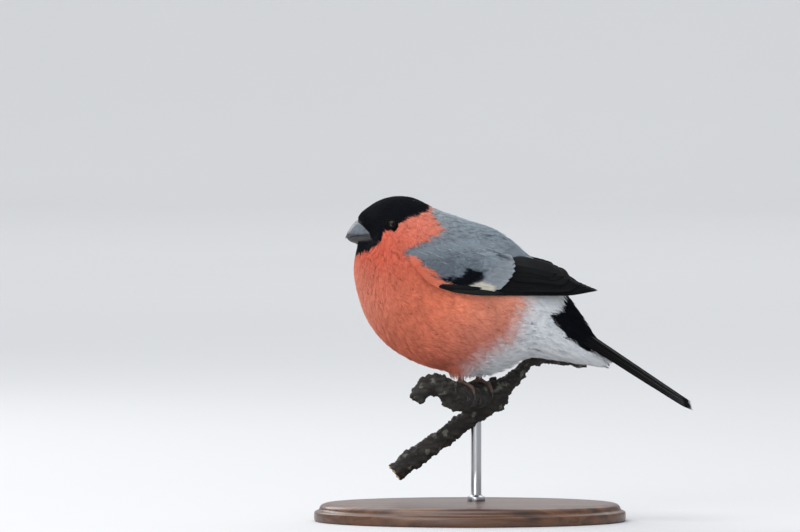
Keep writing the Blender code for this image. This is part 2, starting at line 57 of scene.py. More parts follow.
# Millimetres in a pixel of the photograph, its pixel at the bird's origin, its size and how far it looks down.
PIXEL, PHOTO_ORIGIN, PHOTO_SIZE, SIGHT_SLOPE = 0.385, (470.0, 372.0), (800, 532), 0.035

# Body: a row for each station from the tail coverts to the bill's base. A station is the back point (x, z),
# the belly point (x, z) and half the width there.
BODY = (
    (52.4, 7.7, 51.2, 1.7, 2.6),
    (47.8, 14.4, 43.1, 3.0, 6.2),
    (42.6, 22.6, 33.1, 4.6, 9.8),
    (36.6, 31.2, 23.1, 5.6, 13.7),
    (29.4, 39.2, 14.6, 1.9, 17.6),
    (21.8, 45.6, 5.4, -0.8, 21.4),
    (14.2, 52.0, -5.0, 0.0, 24.0),
    (7.3, 55.8, -15.0, 1.7, 25.3),
    (0.0, 58.1, -24.6, 5.6, 25.4),
    (-6.2, 60.3, -33.1, 11.6, 24.5),
    (-11.2, 62.0, -39.7, 20.4, 22.4),
    (-15.0, 63.7, -43.3, 30.4, 19.8),
    (-18.9, 65.8, -44.7, 38.5, 17.3),
    (-23.5, 67.4, -44.4, 43.3, 15.4),
    (-29.3, 67.6, -44.1, 44.9, 13.8),
    (-34.6, 66.2, -43.9, 46.0, 12.1),
    (-38.9, 63.7, -43.7, 46.9, 9.8),
    (-41.8, 61.4, -43.6, 47.4, 7.4),
    (-43.3, 59.5, -43.4, 48.0, 5.4),
)
BODY_LEAN = -0.13
HEAD_END = 18.0
# How deep the skin lies under the coat, by station.
COAT_DEPTH = ((0.0, 0.9), (2.5, 1.4), (5.0, 1.7), (10.0, 1.6), (12.5, 1.0), (15.0, 0.75), (17.0, 0.5), (18.0, 0.3))
# How long the small feathers are, by station.
FEATHER_SIZE = (
    (0.0, 7.0), (2.5, 8.0), (5.0, 7.6), (9.0, 6.8), (10.5, 5.4), (12.0, 4.0), (14.0, 3.0), (16.0, 2.3), (18.0, 1.6)
)

# Bill: x, top, bottom and half width along each half, from the root inside the head to the tip.
BILL_UPPER = (
    (-38.2, 57.2, 52.9, 7.3),
    (-39.6, 58.3, 52.9, 6.6),
    (-41.4, 58.8, 52.9, 5.7),
    (-43.0, 58.4, 52.8, 4.7),
    (-44.5, 57.3, 52.6, 3.8),
    (-45.9, 55.7, 52.3, 2.8),
    (-47.1, 53.8, 51.9, 1.6),
    (-47.9, 51.9, 51.3, 0.35),
)
BILL_LOWER = (
    (-37.6, 53.2, 48.0, 8.2),
    (-39.6, 53.2, 48.1, 6.8),
    (-41.4, 53.1, 48.5, 5.5),
    (-43.0, 52.9, 49.0, 4.3),
    (-44.5, 52.6, 49.7, 3.5),
    (-45.8, 52.2, 50.1, 2.4),
    (-46.8, 51.9, 50.8, 1.0),
    (-47.3, 51.8, 51.4, 0.15),
)
# The part of the face in front of the feathers, in pixels of the photograph.
BARE_FACE = (
    (340, 243.2), (340, 221), (358.4, 221), (360.5, 224.5), (362.6, 228), (365, 231.8), (368.4, 234.4), (371.4, 237),
    (371.8, 239.6), (368.5, 240.8), (362.5, 241), (358.4, 242.6),
)
NOSTRIL_AT = (-43.1, 1.9, 57.5)

EYE_AT, EYE_RADIUS, EYE_DEPTH = (-30.1, 57.3), 2.4, 1.5
EYE_OPENING, EYE_NO_ROOTS, PUPIL_EDGE, LID_SIDES = 2.0, 2.35, (0.50, 0.56), 48
# Section of the eyelid: away from the eye's axis, and along it from the ball's centre.
LID_PROFILE = (
    (1.60, 1.76), (1.64, 1.95), (1.74, 2.03), (1.87, 2.00), (2.04, 1.82), (2.40, 1.42), (2.80, 1.05), (2.60, 0.70),
    (1.90, 0.90), (1.60, 1.30),
)

# Folded wing: x, lower edge, upper edge and thickness of its solid part, seen from the side.
WING_CORE = (
    (-23.6, 44.4, 47.0, 0.5),
    (-20.0, 39.9, 48.0, 1.1),
    (-15.4, 35.4, 48.9, 1.8),
    (-9.6, 32.5, 50.2, 2.2),
    (0.0, 30.9, 51.4, 2.3),
    (7.7, 30.6, 51.0, 2.3),
    (13.5, 30.6, 48.8, 2.2),
    (19.3, 30.7, 45.0, 1.9),
    (25.0, 31.0, 41.0, 1.2),
)
WING_CORE_EDGE = 0.6
WING_GAP = 0.3
WING_PLANE_AT, WING_PLANE_MOST = (27.0, 15.6, 31.0), 18.0
WING_PLANE_SLOPE = (0.49, 0.8)
WING_FIRST, WING_LAYER = 0.4, 0.3

# Rows of vanes: how many, roots and tips as points of a curve (x, z) from the lower edge of the wing to the
# upper one, half width, first layer at the root and at the tip, layers in all, bow, and how blunt the tip is.
WING_ROWS = (
    ("primaries", 8, ((-4.0, 32.3), (8.0, 34.0)), ((49.3, 31.5), (39.5, 35.6)), 2.3, (2.2, 0.0, 5), 0.4, 0.45),
    ("secondaries", 6, ((7.0, 34.4), (10.0, 39.8)), ((42.5, 34.0), (37.6, 36.2)), 2.8, (5.6, 5.4, 3), 0.3, 0.8),
    ("tertials", 3, ((11.5, 39.0), (12.5, 43.0)), ((38.9, 36.3), (33.5, 38.6)), 2.9, (9.0, 9.5, 2), 0.5, 1.0),
    (
        "primary_coverts", 4, ((-12.5, 33.9), (-11.5, 34.3)), ((13.0, 31.3), (8.0, 32.0)), 1.1, (6.5, 7.0, 1),
        -0.7, 0.4,
    ),
    ("alula", 3, ((-12.0, 34.0), (-11.0, 34.6)), ((2.0, 32.6), (4.6, 33.3)), 0.95, (7.0, 7.6, 1), -0.5, 0.5),
    (
        "greater_coverts", 8, ((-6.5, 34.3), (-3.0, 40.2), (-1.5, 44.5)),
        ((8.7, 33.1), (12.7, 34.0), (15.6, 36.7), (17.4, 39.9), (17.2, 42.9)), 2.25, (3.0, 7.2, 6), 0.3, 1.25,
    ),
)

TAIL_ROOT, TAIL_TIP = (35.9, 21.6), (85.0, -11.6)
TAIL_PAIRS = 6
TAIL_HALF_WIDTH, TAIL_ROOT_LAYER, TAIL_TIP_LAYER = 3.9, 0.72, 0.22
TAIL_ROOT_STEP, TAIL_TIP_STEP, TAIL_DROOP = 0.45, 1.35, 0.14

# Perch: centre line (x, y, z) and radius along its limb, its spur and its stub.
LIMB = (
    (-29.0, 8.0, -39.5, 3.6),
    (-20.5, 9.2, -33.0, 3.8),
    (-12.0, 10.0, -27.0, 3.6),
    (-4.5, 11.2, -21.5, 3.8),
    (2.5, 12.2, -16.5, 4.1),
    (8.0, 13.2, -11.5, 5.0),
    (11.5, 14.0, -8.6, 5.0),
)
SPUR = (
    (11.5, 14.0, -6.8, 5.2),
    (7.0, 12.8, -8.9, 4.6),
    (3.5, 7.8, -9.4, 4.4),
    (0.0, 0.0, -9.4, 4.4),
    (-3.5, -7.8, -9.4, 4.4),
    (-5.9, -13.2, -9.1, 4.4),
    (-11.0, -18.2, -4.6, 4.2),
    (-17.0, -20.5, -4.4, 3.6),
    (-20.5, -21.8, -10.0, 2.9),
)
STUB = (
    (11.5, 14.0, -8.0, 4.6),
    (17.0, 15.0, -3.2, 3.0),
    (22.0, 15.8, 2.4, 2.0),
    (28.0, 16.2, 4.3, 1.8),
    (37.0, 16.6, 3.2, 1.7),
    (45.5, 17.0, 1.8, 1.3),
)
# Millimetres between the swellings along the branch, and the step of the remesh that joins its parts.
BAND_LENGTH, BARK_STEP = 2.3, 0.42
TUBE_SIDES, TUBE_STEPS, KNOBS, KNOB_FROM_FEET = 36, 150, 30, 7.0
FOOT_SPOTS = {"left": (-3.5, -7.8), "right": (3.5, 7.8)}
TOE_RADIUS, TOE_END_RADIUS, TOE_STEPS = 0.9, 0.62, 60
FRONT_TOE_ANGLE, BACK_TOE_ANGLE, CLAW_ANGLE = 84.0, 74.0, 34.0
TOE_SPREADS = (-3.4, 3.4)
LEG_RADIUS, LEG_TOP = 1.15, 4.0

BASE_LENGTH, BASE_WIDTH = 120.0, 84.0
# Section of the plinth's edge: in from its outline, and up.
PLINTH_PROFILE = (
    (0.6, 0.0), (0.0, 0.6), (0.0, 3.2), (0.5, 3.9), (1.4, 4.3), (1.9, 4.8), (2.2, 5.6), (3.0, 6.4), (4.4, 6.9),
    (6.0, 7.0),
)
ROD_AT, ROD_RADIUS = (2.5, 12.2), 2.0
# The collar at the rod's foot: radius, and height over the rod's lower end.
ROD_COLLAR = ((3.4, -0.3), (3.6, 0.3), (3.4, 1.3), (2.4, 1.7), (2.0, 2.2), (2.0, 12.0))

# Lights: place, size and power in metres and watts, and what each is aimed at.
BIRD, FLOOR_BEHIND = (-0.02, 0.0, 0.09), (0.0, 2.95, 0.0)
LIGHTS = {
    "softbox_top": ((-0.25, -0.35, 1.1), 0.9, 8.0, BIRD),
    "softbox_front": ((-0.6, -1.1, 0.55), 0.7, 6.5, BIRD),
    "softbox_back": ((-0.75, 0.7, 0.6), 0.5, 4.0, BIRD),
    "softbox_low": ((-0.2, -1.3, 0.14), 0.5, 1.6, BIRD),
    "sky_panel": ((0.0, 2.9, 2.8), 4.8, 110.0, FLOOR_BEHIND),
}
WORLD_COLOUR, WORLD_STRENGTH = (0.93, 0.96, 1.0, 1.0), 0.55
# Backdrop in metres: where its floor starts and ends, its height, half its width and the radius of its bend.
BACKDROP_FRONT, BACKDROP_DEPTH, BACKDROP_HEIGHT, BACKDROP_SIDE, BACKDROP_BEND = -6.0, 4.2, 4.0, 6.0, 1.4
CAMERA_ELEVATION, CAMERA_LENS, CAMERA_SENSOR, CAMERA_FAR = math.radians(2.0), 400.0, 36.0, 50.0

# Markings in the side view, in pixels of the photograph.
CAP = (
    (436, 203), (430.5, 207), (428, 211.5), (418.6, 215.5), (410, 218.5), (401.5, 223), (395, 229), (385, 232.5),
    (382, 241.8), (375.7, 246.5), (368, 252.6), (360, 255.6), (340, 256), (330, 180), (445, 180),
)
GREY = (
    (431, 207), (433, 214), (439, 222), (443, 229), (438, 236), (430, 241), (422, 245), (412, 249), (404.6, 253),
    (408, 257.5), (413, 259), (421, 260.5), (428, 264), (433, 270), (438, 278), (446, 285), (500, 292), (600, 297),
    (620, 180), (436, 180),
)
WHITE = (
    (530, 180), (529, 250), (528, 296), (524.5, 312), (518, 321), (517, 333), (507.6, 342.7), (490.6, 352.4),
    (479.7, 360.3), (467.6, 370.6), (462, 395), (720, 395), (720, 180),
)
TAIL_COVERTS = (
    (550, 317), (560.9, 329.4), (569.4, 339.1), (581.5, 348.8), (592, 353), (604, 357.5), (740, 357.5), (740, 280),
    (572, 280), (563, 312),
)
WING_PATCH = (
    (441, 278.5), (447, 278.5), (458, 278), (465, 274), (468, 268.5), (473, 270.5), (484.5, 271.5), (483.5, 276.5),
    (481.5, 281.5), (476, 285), (469, 287.5), (458, 288), (445, 287), (441, 284),
)
# Painted shade in the crease between the scapulars and the wing.
GAP_SHADE = ((496, 252), (506, 256), (518, 260.5), (518, 263), (506, 260), (496, 255.5))
WING_BAR = (
    (500, 262), (508, 257), (520, 258), (520, 290), (500, 294), (484, 290), (478, 284), (485, 278), (487, 271),
    (490, 266),
)
SOFT_COVERTS = (
    (402, 252), (440, 236), (470, 230), (492, 236), (508, 247), (508, 254), (500, 256), (491, 261), (484, 267),
    (482, 275), (477, 283), (462, 284.5), (445, 283), (430, 279), (420, 268),
)
BAR_LOW_CREAM = ((466, 286.5), (476, 283.5), (481.5, 281.5), (488, 283.5), (495, 286.5), (493, 291), (466, 291))

SCAPULARS = ((452, 225), (535, 240), (535, 262), (500, 260), (470, 244))
SHOULDER_RIM = (
    (398, 257), (410, 259), (424, 263), (430, 271), (434, 279), (442, 290), (458, 295), (456, 300), (438, 295),
    (424, 284), (412, 272), (398, 264),
)
SCAPULAR_RIM = ((462, 240), (478, 243), (496, 252), (494, 258), (478, 252), (462, 246))
SCAPULAR_AREA, SCAPULAR_SLOPE = ((-10.0, 30.0), (20.0, 53.0)), 0.52
SHOULDER_SHIFT = np.array((-1.8, 0.0, -0.8))
STRAYS = ((412, 238), (432, 232), (452, 236), (458, 246), (446, 256), (432, 262), (420, 256), (408, 250))

# Colours as the eye sees them, with the place of each in the photograph where several are blended, and how far
# such a colour spreads in millimetres.
TONE_SPREAD = 9.0
ORANGE_TONES = {
    "cheek": ((412, 226), (216, 132, 112)),
    "under_eye": ((390, 243), (204, 76, 54)),
    "throat": ((372, 262), (186, 78, 56)),
    "front": ((362, 292), (222, 140, 118)),
    "shoulder": ((425, 272), (184, 92, 68)),
    "breast": ((402, 305), (200, 108, 82)),
    # The two tones under the wing are made lighter: painted light against the shadow of the wing's lower edge.
    "under_wing": ((465, 300), (250, 142, 106)),
    "under_wing_rear": ((502, 303), (244, 164, 136)),
    "flank": ((500, 326), (176, 104, 88)),
    "belly": ((440, 350), (204, 112, 88)),
    "belly_rear": ((484, 348), (176, 108, 94)),
}
GREY_TONES = {
    "nape": ((442, 220), (144, 151, 156)),
    "mantle": ((475, 235), (124, 137, 148)),
    "scapulars": ((505, 252), (120, 130, 139)),
    "lesser_coverts": ((430, 258), (90, 99, 108)),
    "median_coverts": ((460, 268), (84, 94, 105)),
}
TONES = {
    "black": (9, 12, 18),
    "wing_black": (7, 8, 10),
    "white": (219, 222, 225),
    "vent": (208, 213, 218),
    "bar": (119, 126, 134),
    # gap: the dark grey of painted shade, in the crease by the scapulars and between overlapping coverts.
    "painted_gap_shade": (58, 64, 72),
    "bar_edge": (150, 157, 163),
    "cream": (186, 181, 166),
    "band": (24, 26, 26),
    "band_edge": (96, 92, 86),
    # edge_tone_and_sheen: the flight feathers' lighter edges, partly their own tone and partly painted sheen.
    "edge_tone_and_sheen": (26, 26, 28),
    # rim: painted backlight, laid on the coat's tips along the breast's front edge.
    "rim": (238, 190, 168),
    # stray: the pale grey of loose strands, partly their own tone and partly a painted highlight.
    "stray": (160, 168, 172),
    "horn": (34, 36, 40),
    # horn_pale_highlight: the upper bill's pale blue-grey, partly the horn's own tone and partly a painted highlight.
    "horn_pale_highlight": (98, 104, 112),
    "horn_low": (64, 62, 62),
    "foot": (92, 72, 62),
    "claw": (40, 34, 32),
    "lid": (10, 10, 11),
    "iris": (18, 10, 7),
    "pupil": (2, 2, 3),
    "bark": (37, 34, 31),
    "lichen": (112, 114, 104),
    "sawn_wood": (196, 164, 120),
    "steel": (176, 178, 180),
    "backdrop": (196, 197, 199),
}
# Grain of the plinth: how far along its range each colour comes.
WOOD_TONES = ((0.30, (40, 24, 15)), (0.48, (78, 48, 30)), (0.62, (104, 68, 43)), (0.8, (62, 38, 24)))


# Numbers and curves

# How many waves make up an unevenness.
WAVES = 9


def linear(colour):
    """A colour as the eye sees it, out of 255, as the amount of light that it gives back."""
    share = np.asarray(colour, float) / 255.0
    return np.where(share <= 0.04045, share / 12.92, ((share + 0.055) / 1.055) ** 2.4)


def tone(name):
    return linear(TONES[name])


def from_photo(pixels):
    """Pixels of the photograph as x and z of the bird's side view, in millimetres."""
    pixels = np.asarray(pixels, float)
    return np.stack(
        ((pixels[..., 0] - PHOTO_ORIGIN[0]) * PIXEL, (PHOTO_ORIGIN[1] - pixels[..., 1]) * PIXEL), axis=-1
    )


def side_view(points):
    """Where points lie in the side view as the photograph shows it, from a little above."""
    return np.stack((points[..., 0], points[..., 2] - SIGHT_SLOPE * np.abs(points[..., 1])), axis=-1)


def spline(rows, t):
    """A smooth curve through the rows, read at t, where row number n is at t = n."""
    rows = np.asarray(rows, float)
    t = np.clip(np.asarray(t, float), 0.0, len(rows) - 1.0)
    i = np.minimum(t.astype(int), len(rows) - 2)
    u = (t - i)[..., None]
    before, start = rows[np.maximum(i - 1, 0)], rows[i]
    end, after = rows[i + 1], rows[np.minimum(i + 2, len(rows) - 1)]
    rise, fall = (end - before) / 2, (after - start) / 2
    return (
        (2 * u**3 - 3 * u**2 + 1) * start
        + (u**3 - 2 * u**2 + u) * rise
        + (3 * u**2 - 2 * u**3) * end
        + (u**3 - u**2) * fall
    )


def by_station(pairs, t):
    """A value given at some stations, read between them."""
    return np.interp(t, [p[0] for p in pairs], [p[1] for p in pairs])


def unit(vectors):
    vectors = np.asarray(vectors, float)
    return vectors / np.maximum(np.linalg.norm(vectors, axis=-1, keepdims=True), 1e-12)


def smooth(low, high, value):
    share = np.clip((value - low) / (high - low), 0.0, 1.0)
    return share * share * (3 - 2 * share)


def mix(first, second, share):
    share = np.asarray(share, float)[..., None]
    return first * (1 - share) + second * share


def waves(points, size, seed):
    """Smooth unevenness, mostly between -1 and 1, that changes over about this many millimetres."""
    draw = np.random.default_rng(seed)
    turns = unit(draw.normal(size=(WAVES, 3))) * draw.uniform(0.7, 1.4, (WAVES, 1))
    phases = draw.uniform(0, 2 * np.pi, WAVES)
    return np.sin(points @ turns.T * (2 * np.pi / size) + phases).sum(axis=-1) / math.sqrt(WAVES)


def inside_by(places, outline):
    """How far each (x, z) lies inside a closed outline, in millimetres, and below nought outside it."""
    nearest = np.full(places.shape[:-1], 1e9)
    inside = np.zeros(places.shape[:-1], bool)
    for start, end in zip(outline, np.roll(outline, -1, axis=0)):
        edge = end - start
        share = np.clip(((places - start) @ edge) / (edge @ edge), 0, 1)
        nearest = np.minimum(nearest, np.linalg.norm(places - (start + share[..., None] * edge), axis=-1))
        crosses = (start[1] > places[..., 1]) != (end[1] > places[..., 1])
        level = start[0] + (places[..., 1] - start[1]) * edge[0] / (edge[1] if edge[1] else 1e-9)
        inside ^= crosses & (places[..., 0] < level)
    return np.where(inside, nearest, -nearest)


def depth_in(outline, points):
    """How far points lie inside an outline in pixels of the photograph, as the photograph shows them."""
    return inside_by(side_view(points), from_photo(outline))


def full_turn(sides):
    """Angles evenly round a circle, from nought."""
    return 2 * np.pi * np.arange(sides) / sides


def half_turns(sides):
    """Angles evenly round a circle, from half a turn back."""
    return np.arange(sides) * 2 * np.pi / sides - np.pi


# Pieces


def piece(name, points, faces, material, **more):
    """A mesh piece on the model's body. Points are in millimetres in the bird's frame, and more may hold tint,
    normals and numbers for each point, patch for the map that a bake uses, slot, which is not used, and the nodes it
    replaces."""
    points = np.asarray(points, float).reshape(-1, 3)
    faces = faces if isinstance(faces, list) else [faces]
    corners = np.concatenate([np.asarray(f).ravel() for f in faces]).astype(np.int32)
    sizes = np.concatenate([np.full(len(f), np.asarray(f).shape[1]) for f in faces])
    mesh = bpy.data.meshes.new(name)
    mesh.vertices.add(len(points))
    mesh.vertices.foreach_set("co", ((points + (0, 0, PERCH_HEIGHT)) * MM).astype(np.float32).ravel())
    mesh.loops.add(len(corners))
    mesh.loops.foreach_set("vertex_index", corners)
    mesh.polygons.add(len(sizes))
    mesh.polygons.foreach_set("loop_start", (np.cumsum(sizes) - sizes).astype(np.int32))
    mesh.update(calc_edges=True)
    mesh.polygons.foreach_set("use_smooth", np.ones(len(sizes), bool))
    if "tint" in more:
        tint = np.concatenate((np.asarray(more["tint"]).reshape(-1, 3), np.ones((len(points), 1))), axis=1)
        layer = mesh.attributes.new("tint", "FLOAT_COLOR", "POINT")
        layer.data.foreach_set("color", np.clip(tint, 0, 1).astype(np.float32).ravel())
    for label, values in more.get("numbers", {}).items():
        layer = mesh.attributes.new(label, "FLOAT", "POINT")
        layer.data.foreach_set("value", np.asarray(values, np.float32).ravel())
    if "patch" in more:
        layer = mesh.uv_layers.new(name="OFBake")
        layer.data.foreach_set("uv", np.asarray(more["patch"], np.float32).reshape(-1, 2)[corners].ravel())
    if "normals" in more:
        facing = more["facing"].ravel()[:, None]
        mesh.normals_split_custom_set((np.asarray(more["normals"])[corners] * facing).astype(np.float32))
    mesh.materials.append(material)
    made = bpy.data.objects.new(name, mesh)
    bpy.context.scene.collection.objects.link(made)
    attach(made, "root")
    if more.get("replaces"):
        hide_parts(*more["replaces"])
    return made


def net(rows, columns):
    """Four-cornered faces between rings of points, ring by ring."""
    r, c = np.arange(rows - 1)[:, None], np.arange(columns)[None, :]
    after = (c + 1) % columns
    a, b = r * columns + c, r * columns + after
    return np.stack((a, b, b + columns, a + columns), axis=-1).reshape(-1, 4)


def with_ends(values):
    """Values for each point of some rings, and their means over the first ring and the last one."""
    values = np.asarray(values, float)
    flat = values.reshape(-1, *values.shape[2:])
    return np.concatenate((flat, values[0].mean(axis=0)[None], values[-1].mean(axis=0)[None]))


def closed_net(rings):
    """Points and faces of a closed skin over rings of equally many points, with a fan over each end."""
    rows, sides = np.shape(rings)[:2]
    s = np.arange(sides)
    after = (s + 1) % sides
    last = (rows - 1) * sides
    first_fan = np.stack((after, s, np.full(sides, rows * sides)), axis=-1)
    last_fan = np.stack((last + s, last + after, np.full(sides, rows * sides + 1)), axis=-1)
    return with_ends(rings), [net(rows, sides), np.concatenate((first_fan, last_fan))]


def inside_out(faces):
    return [corners[:, ::-1] for corners in faces]


def join(parts):
    """The points and faces of several closed nets as those of one."""
    points, quads, fans_at_ends, start = [], [], [], 0
    for part, faces in parts:
        points.append(part)
        quads.append(faces[0] + start)
        fans_at_ends.append(faces[1] + start)
        start += len(part)
    return np.concatenate(points), [np.concatenate(quads), np.concatenate(fans_at_ends)]


def level_ring(centre, x_radius, y_radius, height, turn):
    """A level oval round a centre (x, y) at a height."""
    x, y = centre[0] + x_radius * np.cos(turn), centre[1] + y_radius * np.sin(turn)
    return np.stack((x, y, np.full(len(turn), height)), axis=-1)


def tube_rings(rows, rough, seed):
    """Rings of a tube along rows of centre point and radius, with uneven swellings."""
    places = spline(rows, np.linspace(0, len(rows) - 1, TUBE_STEPS))
    turn = full_turn(TUBE_SIDES)
    rings, across = [], np.array((0.3, 0.1, 0.95))
    for i in range(TUBE_STEPS):
        ahead = unit(places[min(i + 1, TUBE_STEPS - 1), :3] - places[max(i - 1, 0), :3])
        across = unit(across - ahead * across.dot(ahead))
        second = np.cross(ahead, across)
        out = np.cos(turn)[:, None] * across + np.sin(turn)[:, None] * second
        rings.append(places[i, :3] + places[i, 3] * out)
    rings = np.array(rings)
    middle = places[:, None, :3]
    run = np.cumsum(np.concatenate(((0.0,), np.linalg.norm(np.diff(places[:, :3], axis=0), axis=1))))
    bands = np.abs(np.sin(np.pi * run / BAND_LENGTH + waves(middle[:, 0], 7.0, seed)))[:, None] ** 0.7 - 0.6
    return middle + (rings - middle) * (1 + rough * (bands + 0.6 * waves(rings, 3.2, seed)))[..., None]


# Materials


class Look:
    """A new material with its principled shader, and short ways to add nodes to it."""

    def __init__(self, name, **values):
        self.made = bpy.data.materials.new(name)
        self.made.use_nodes = True
        self.nodes, self.links = self.made.node_tree.nodes, self.made.node_tree.links
        self.shader = self.nodes["Principled BSDF"]
        self.fill(self.shader, values)

    def fill(self, node, values):
        """Gives a node's inputs their values, or links them to the output of another node."""
        for label, value in values.items():
            socket = node.inputs[label.replace("_", " ")]
            if isinstance(value, bpy.types.NodeSocket):
                self.links.new(value, socket)
            else:
                socket.default_value = value

    def add(self, kind, output=0, **values):
        """A node with these inputs. Returns its output of that number or name."""
        node = self.nodes.new("ShaderNode" + kind)
        self.fill(node, values)
        return node.outputs[output]

    def read(self, attribute, output):
        node = self.nodes.new("ShaderNodeAttribute")
        node.attribute_name = attribute
        return node.outputs[output]

    def place(self, scale):
        return self.add("Mapping", Vector=self.add("TexCoord", "Object"), Scale=scale)

    def noise(self, scale, place, **values):
        return self.add("TexNoise", "Fac", Scale=scale, Vector=place, **values)

    def bump(self, height, strength, distance):
        bump = self.add("Bump", "Normal", Strength=strength, Distance=distance * MM, Height=height)
        self.fill(self.shader, {"Normal": bump})


def material(name, roughness, **more):
    """A material whose colour comes from the mesh's tint or a plain colour, made uneven by fine noise. more may
    hold colour, uneven, grain (noise scale), stretch, bump, bump_strength, barbs, sheen, shine, dark_dull (its shine
    where it is black), coat and metallic."""
    shine = more.get("shine", 0.5)
    look = Look(
        name, Metallic=more.get("metallic", 0.0), Specular_IOR_Level=shine, Sheen_Weight=more.get("sheen", 0.0),
        Sheen_Roughness=0.5, Coat_Weight=more.get("coat", 0.0), Coat_Roughness=0.06,
    )
    noise = look.noise(more.get("grain", 1500.0), look.place(more.get("stretch", (1.0, 1.0, 1.0))), Detail=4.0)
    if "colour" in more:
        colour = look.add("RGB")
        colour.default_value = (*linear(more["colour"]), 1.0)
    else:
        colour = look.read("tint", "Color")
    uneven = more.get("uneven", 0.2)
    amount = look.add(
        "MapRange", Value=noise, From_Min=0.25, From_Max=0.75, To_Min=1.0 - uneven, To_Max=1.0 + uneven
    )
    scaled = look.nodes.new("ShaderNodeVectorMath")
    scaled.operation = "SCALE"
    look.links.new(colour, scaled.inputs[0])
    look.fill(scaled, {"Scale": amount})
    tint = scaled.outputs["Vector"]
    rough = look.add("MapRange", Value=noise, To_Min=max(roughness - 0.08, 0.02), To_Max=min(roughness + 0.08, 1.0))
    look.fill(look.shader, {"Base Color": tint, "Roughness": rough})
    if "dark_dull" in more:
        gloss = look.add("MapRange", Value=tint, From_Max=0.2, To_Min=more["dark_dull"], To_Max=shine)
        look.fill(look.shader, {"Sheen Tint": tint, "Specular IOR Level": gloss})
    height = noise
    if "barbs" in more:
        ridge = look.nodes.new("ShaderNodeMath")
        ridge.operation = "SINE"
        look.links.new(look.read("barb", "Fac"), ridge.inputs[0])
        height = ridge.outputs[0]
    if "bump" in more:
        look.bump(height, more.get("bump_strength", 0.6), more["bump"])
    return look.made


SKIN = material("skin", 0.9, uneven=0.25, grain=900.0, bump=0.15)
PLUMAGE = material("plumage", 0.72, uneven=0.08, grain=1200.0, sheen=0.4, shine=0.2, dark_dull=0.05)
VANE = material(
    "vane", 0.5, uneven=0.22, grain=1300.0, stretch=(0.12, 0.6, 1.0), bump=0.04, barbs=True, shine=0.1,
    bump_strength=0.4,
)
SOFT_VANE = material(
    "soft_vane", 0.7, uneven=0.16, grain=1500.0, stretch=(0.2, 0.6, 1.0), bump=0.05, barbs=True, sheen=0.3, shine=0.2,
    dark_dull=0.06,
)


# Surfaces


class Sheet:
    """A smooth surface over two parameters, read from a fine table of its points."""

    def __init__(self, points, start, step, goes_round, outward):
        self.points, self.start, self.step = points, start, step
        self.goes_round = goes_round
        self.along = np.gradient(points, step[0], axis=0)
        if goes_round:
            self.across = (np.roll(points, -1, axis=1) - np.roll(points, 1, axis=1)) / (2 * step[1])
        else:
            self.across = np.gradient(points, step[1], axis=1)
        self.normals = outward * unit(np.cross(self.across, self.along))

    def read(self, table, u, v):
        rows, columns = table.shape[:2]
        down = (np.asarray(u) - self.start[0]) / self.step[0]
        over = (np.asarray(v) - self.start[1]) / self.step[1]
        i = np.clip(np.floor(down).astype(int), 0, rows - 2)
        j = np.floor(over).astype(int)
        if self.goes_round:
            g = over - j
            j, k = j % columns, (j + 1) % columns
        else:
            j = np.clip(j, 0, columns - 2)
            g, k = over - j, j + 1
        f, g = (down - i)[..., None], g[..., None]
        near = table[i, j] * (1 - g) + table[i, k] * g
        far = table[i + 1, j] * (1 - g) + table[i + 1, k] * g
        return near * (1 - f) + far * f

    def point(self, u, v):
        return self.read(self.points, u, v)

    def normal(self, u, v):
        return unit(self.read(self.normals, u, v))

    def chart(self, u, v):
        """Where a place lies on the flat unwrap of the whole surface, from 0 to 1 both ways."""
        rows, columns = self.points.shape[:2]
        down = np.clip((u - self.start[0]) / (self.step[0] * (rows - 1)), 0, 1)
        if self.goes_round:
            over = ((v - self.start[1]) / (self.step[1] * columns)) % 1.0
        else:
            over = np.clip((v - self.start[1]) / (self.step[1] * (columns - 1)), 0, 1)
        return 0.01 + 0.98 * np.stack((down, over), axis=-1)


def body_points(t, angle):
    """Points of the body's surface. Angle 0 is the back, a right angle is the bird's right side."""
    row = spline(BODY, t)
    back_x, back_z, belly_x, belly_z, half_width = np.moveaxis(row, -1, 0)
    along = np.cos(angle) + BODY_LEAN * np.sin(angle) ** 2
    x = (back_x + belly_x) / 2 + (back_x - belly_x) / 2 * along
    z = (back_z + belly_z) / 2 + (back_z - belly_z) / 2 * along
    return np.stack((x, half_width * np.sin(angle), z), axis=-1)


def narrow_face(points):
    """The front of the head drawn in towards the bill, most of all beside it."""
    x, y, z = np.moveaxis(points, -1, 0)
    front = smooth(-34.0, -40.5, x)
    level = np.exp(-(((z - 52.6) / 4.6) ** 2))
    return np.stack((x, y * (1 - 0.14 * front - 0.45 * front * level), z), axis=-1)


def body_sheet():
    """The feathers' own surface over the body, from the tail coverts to the bill."""
    times, angles = np.linspace(0, HEAD_END, 361), half_turns(256)
    grid = narrow_face(body_points(times[:, None], angles[None, :]))
    return Sheet(grid, (0.0, -np.pi), (times[1], 2 * np.pi / 256), True, 1.0)


def body_tree(body):
    """The body's surface as faces that a ray can hit."""
    points, (quads, _) = closed_net(body.points[::2, ::2])
    triangles = np.concatenate((quads[:, :3], quads[:, [0, 2, 3]]))
    return BVHTree.FromPolygons(points.tolist(), triangles.tolist())


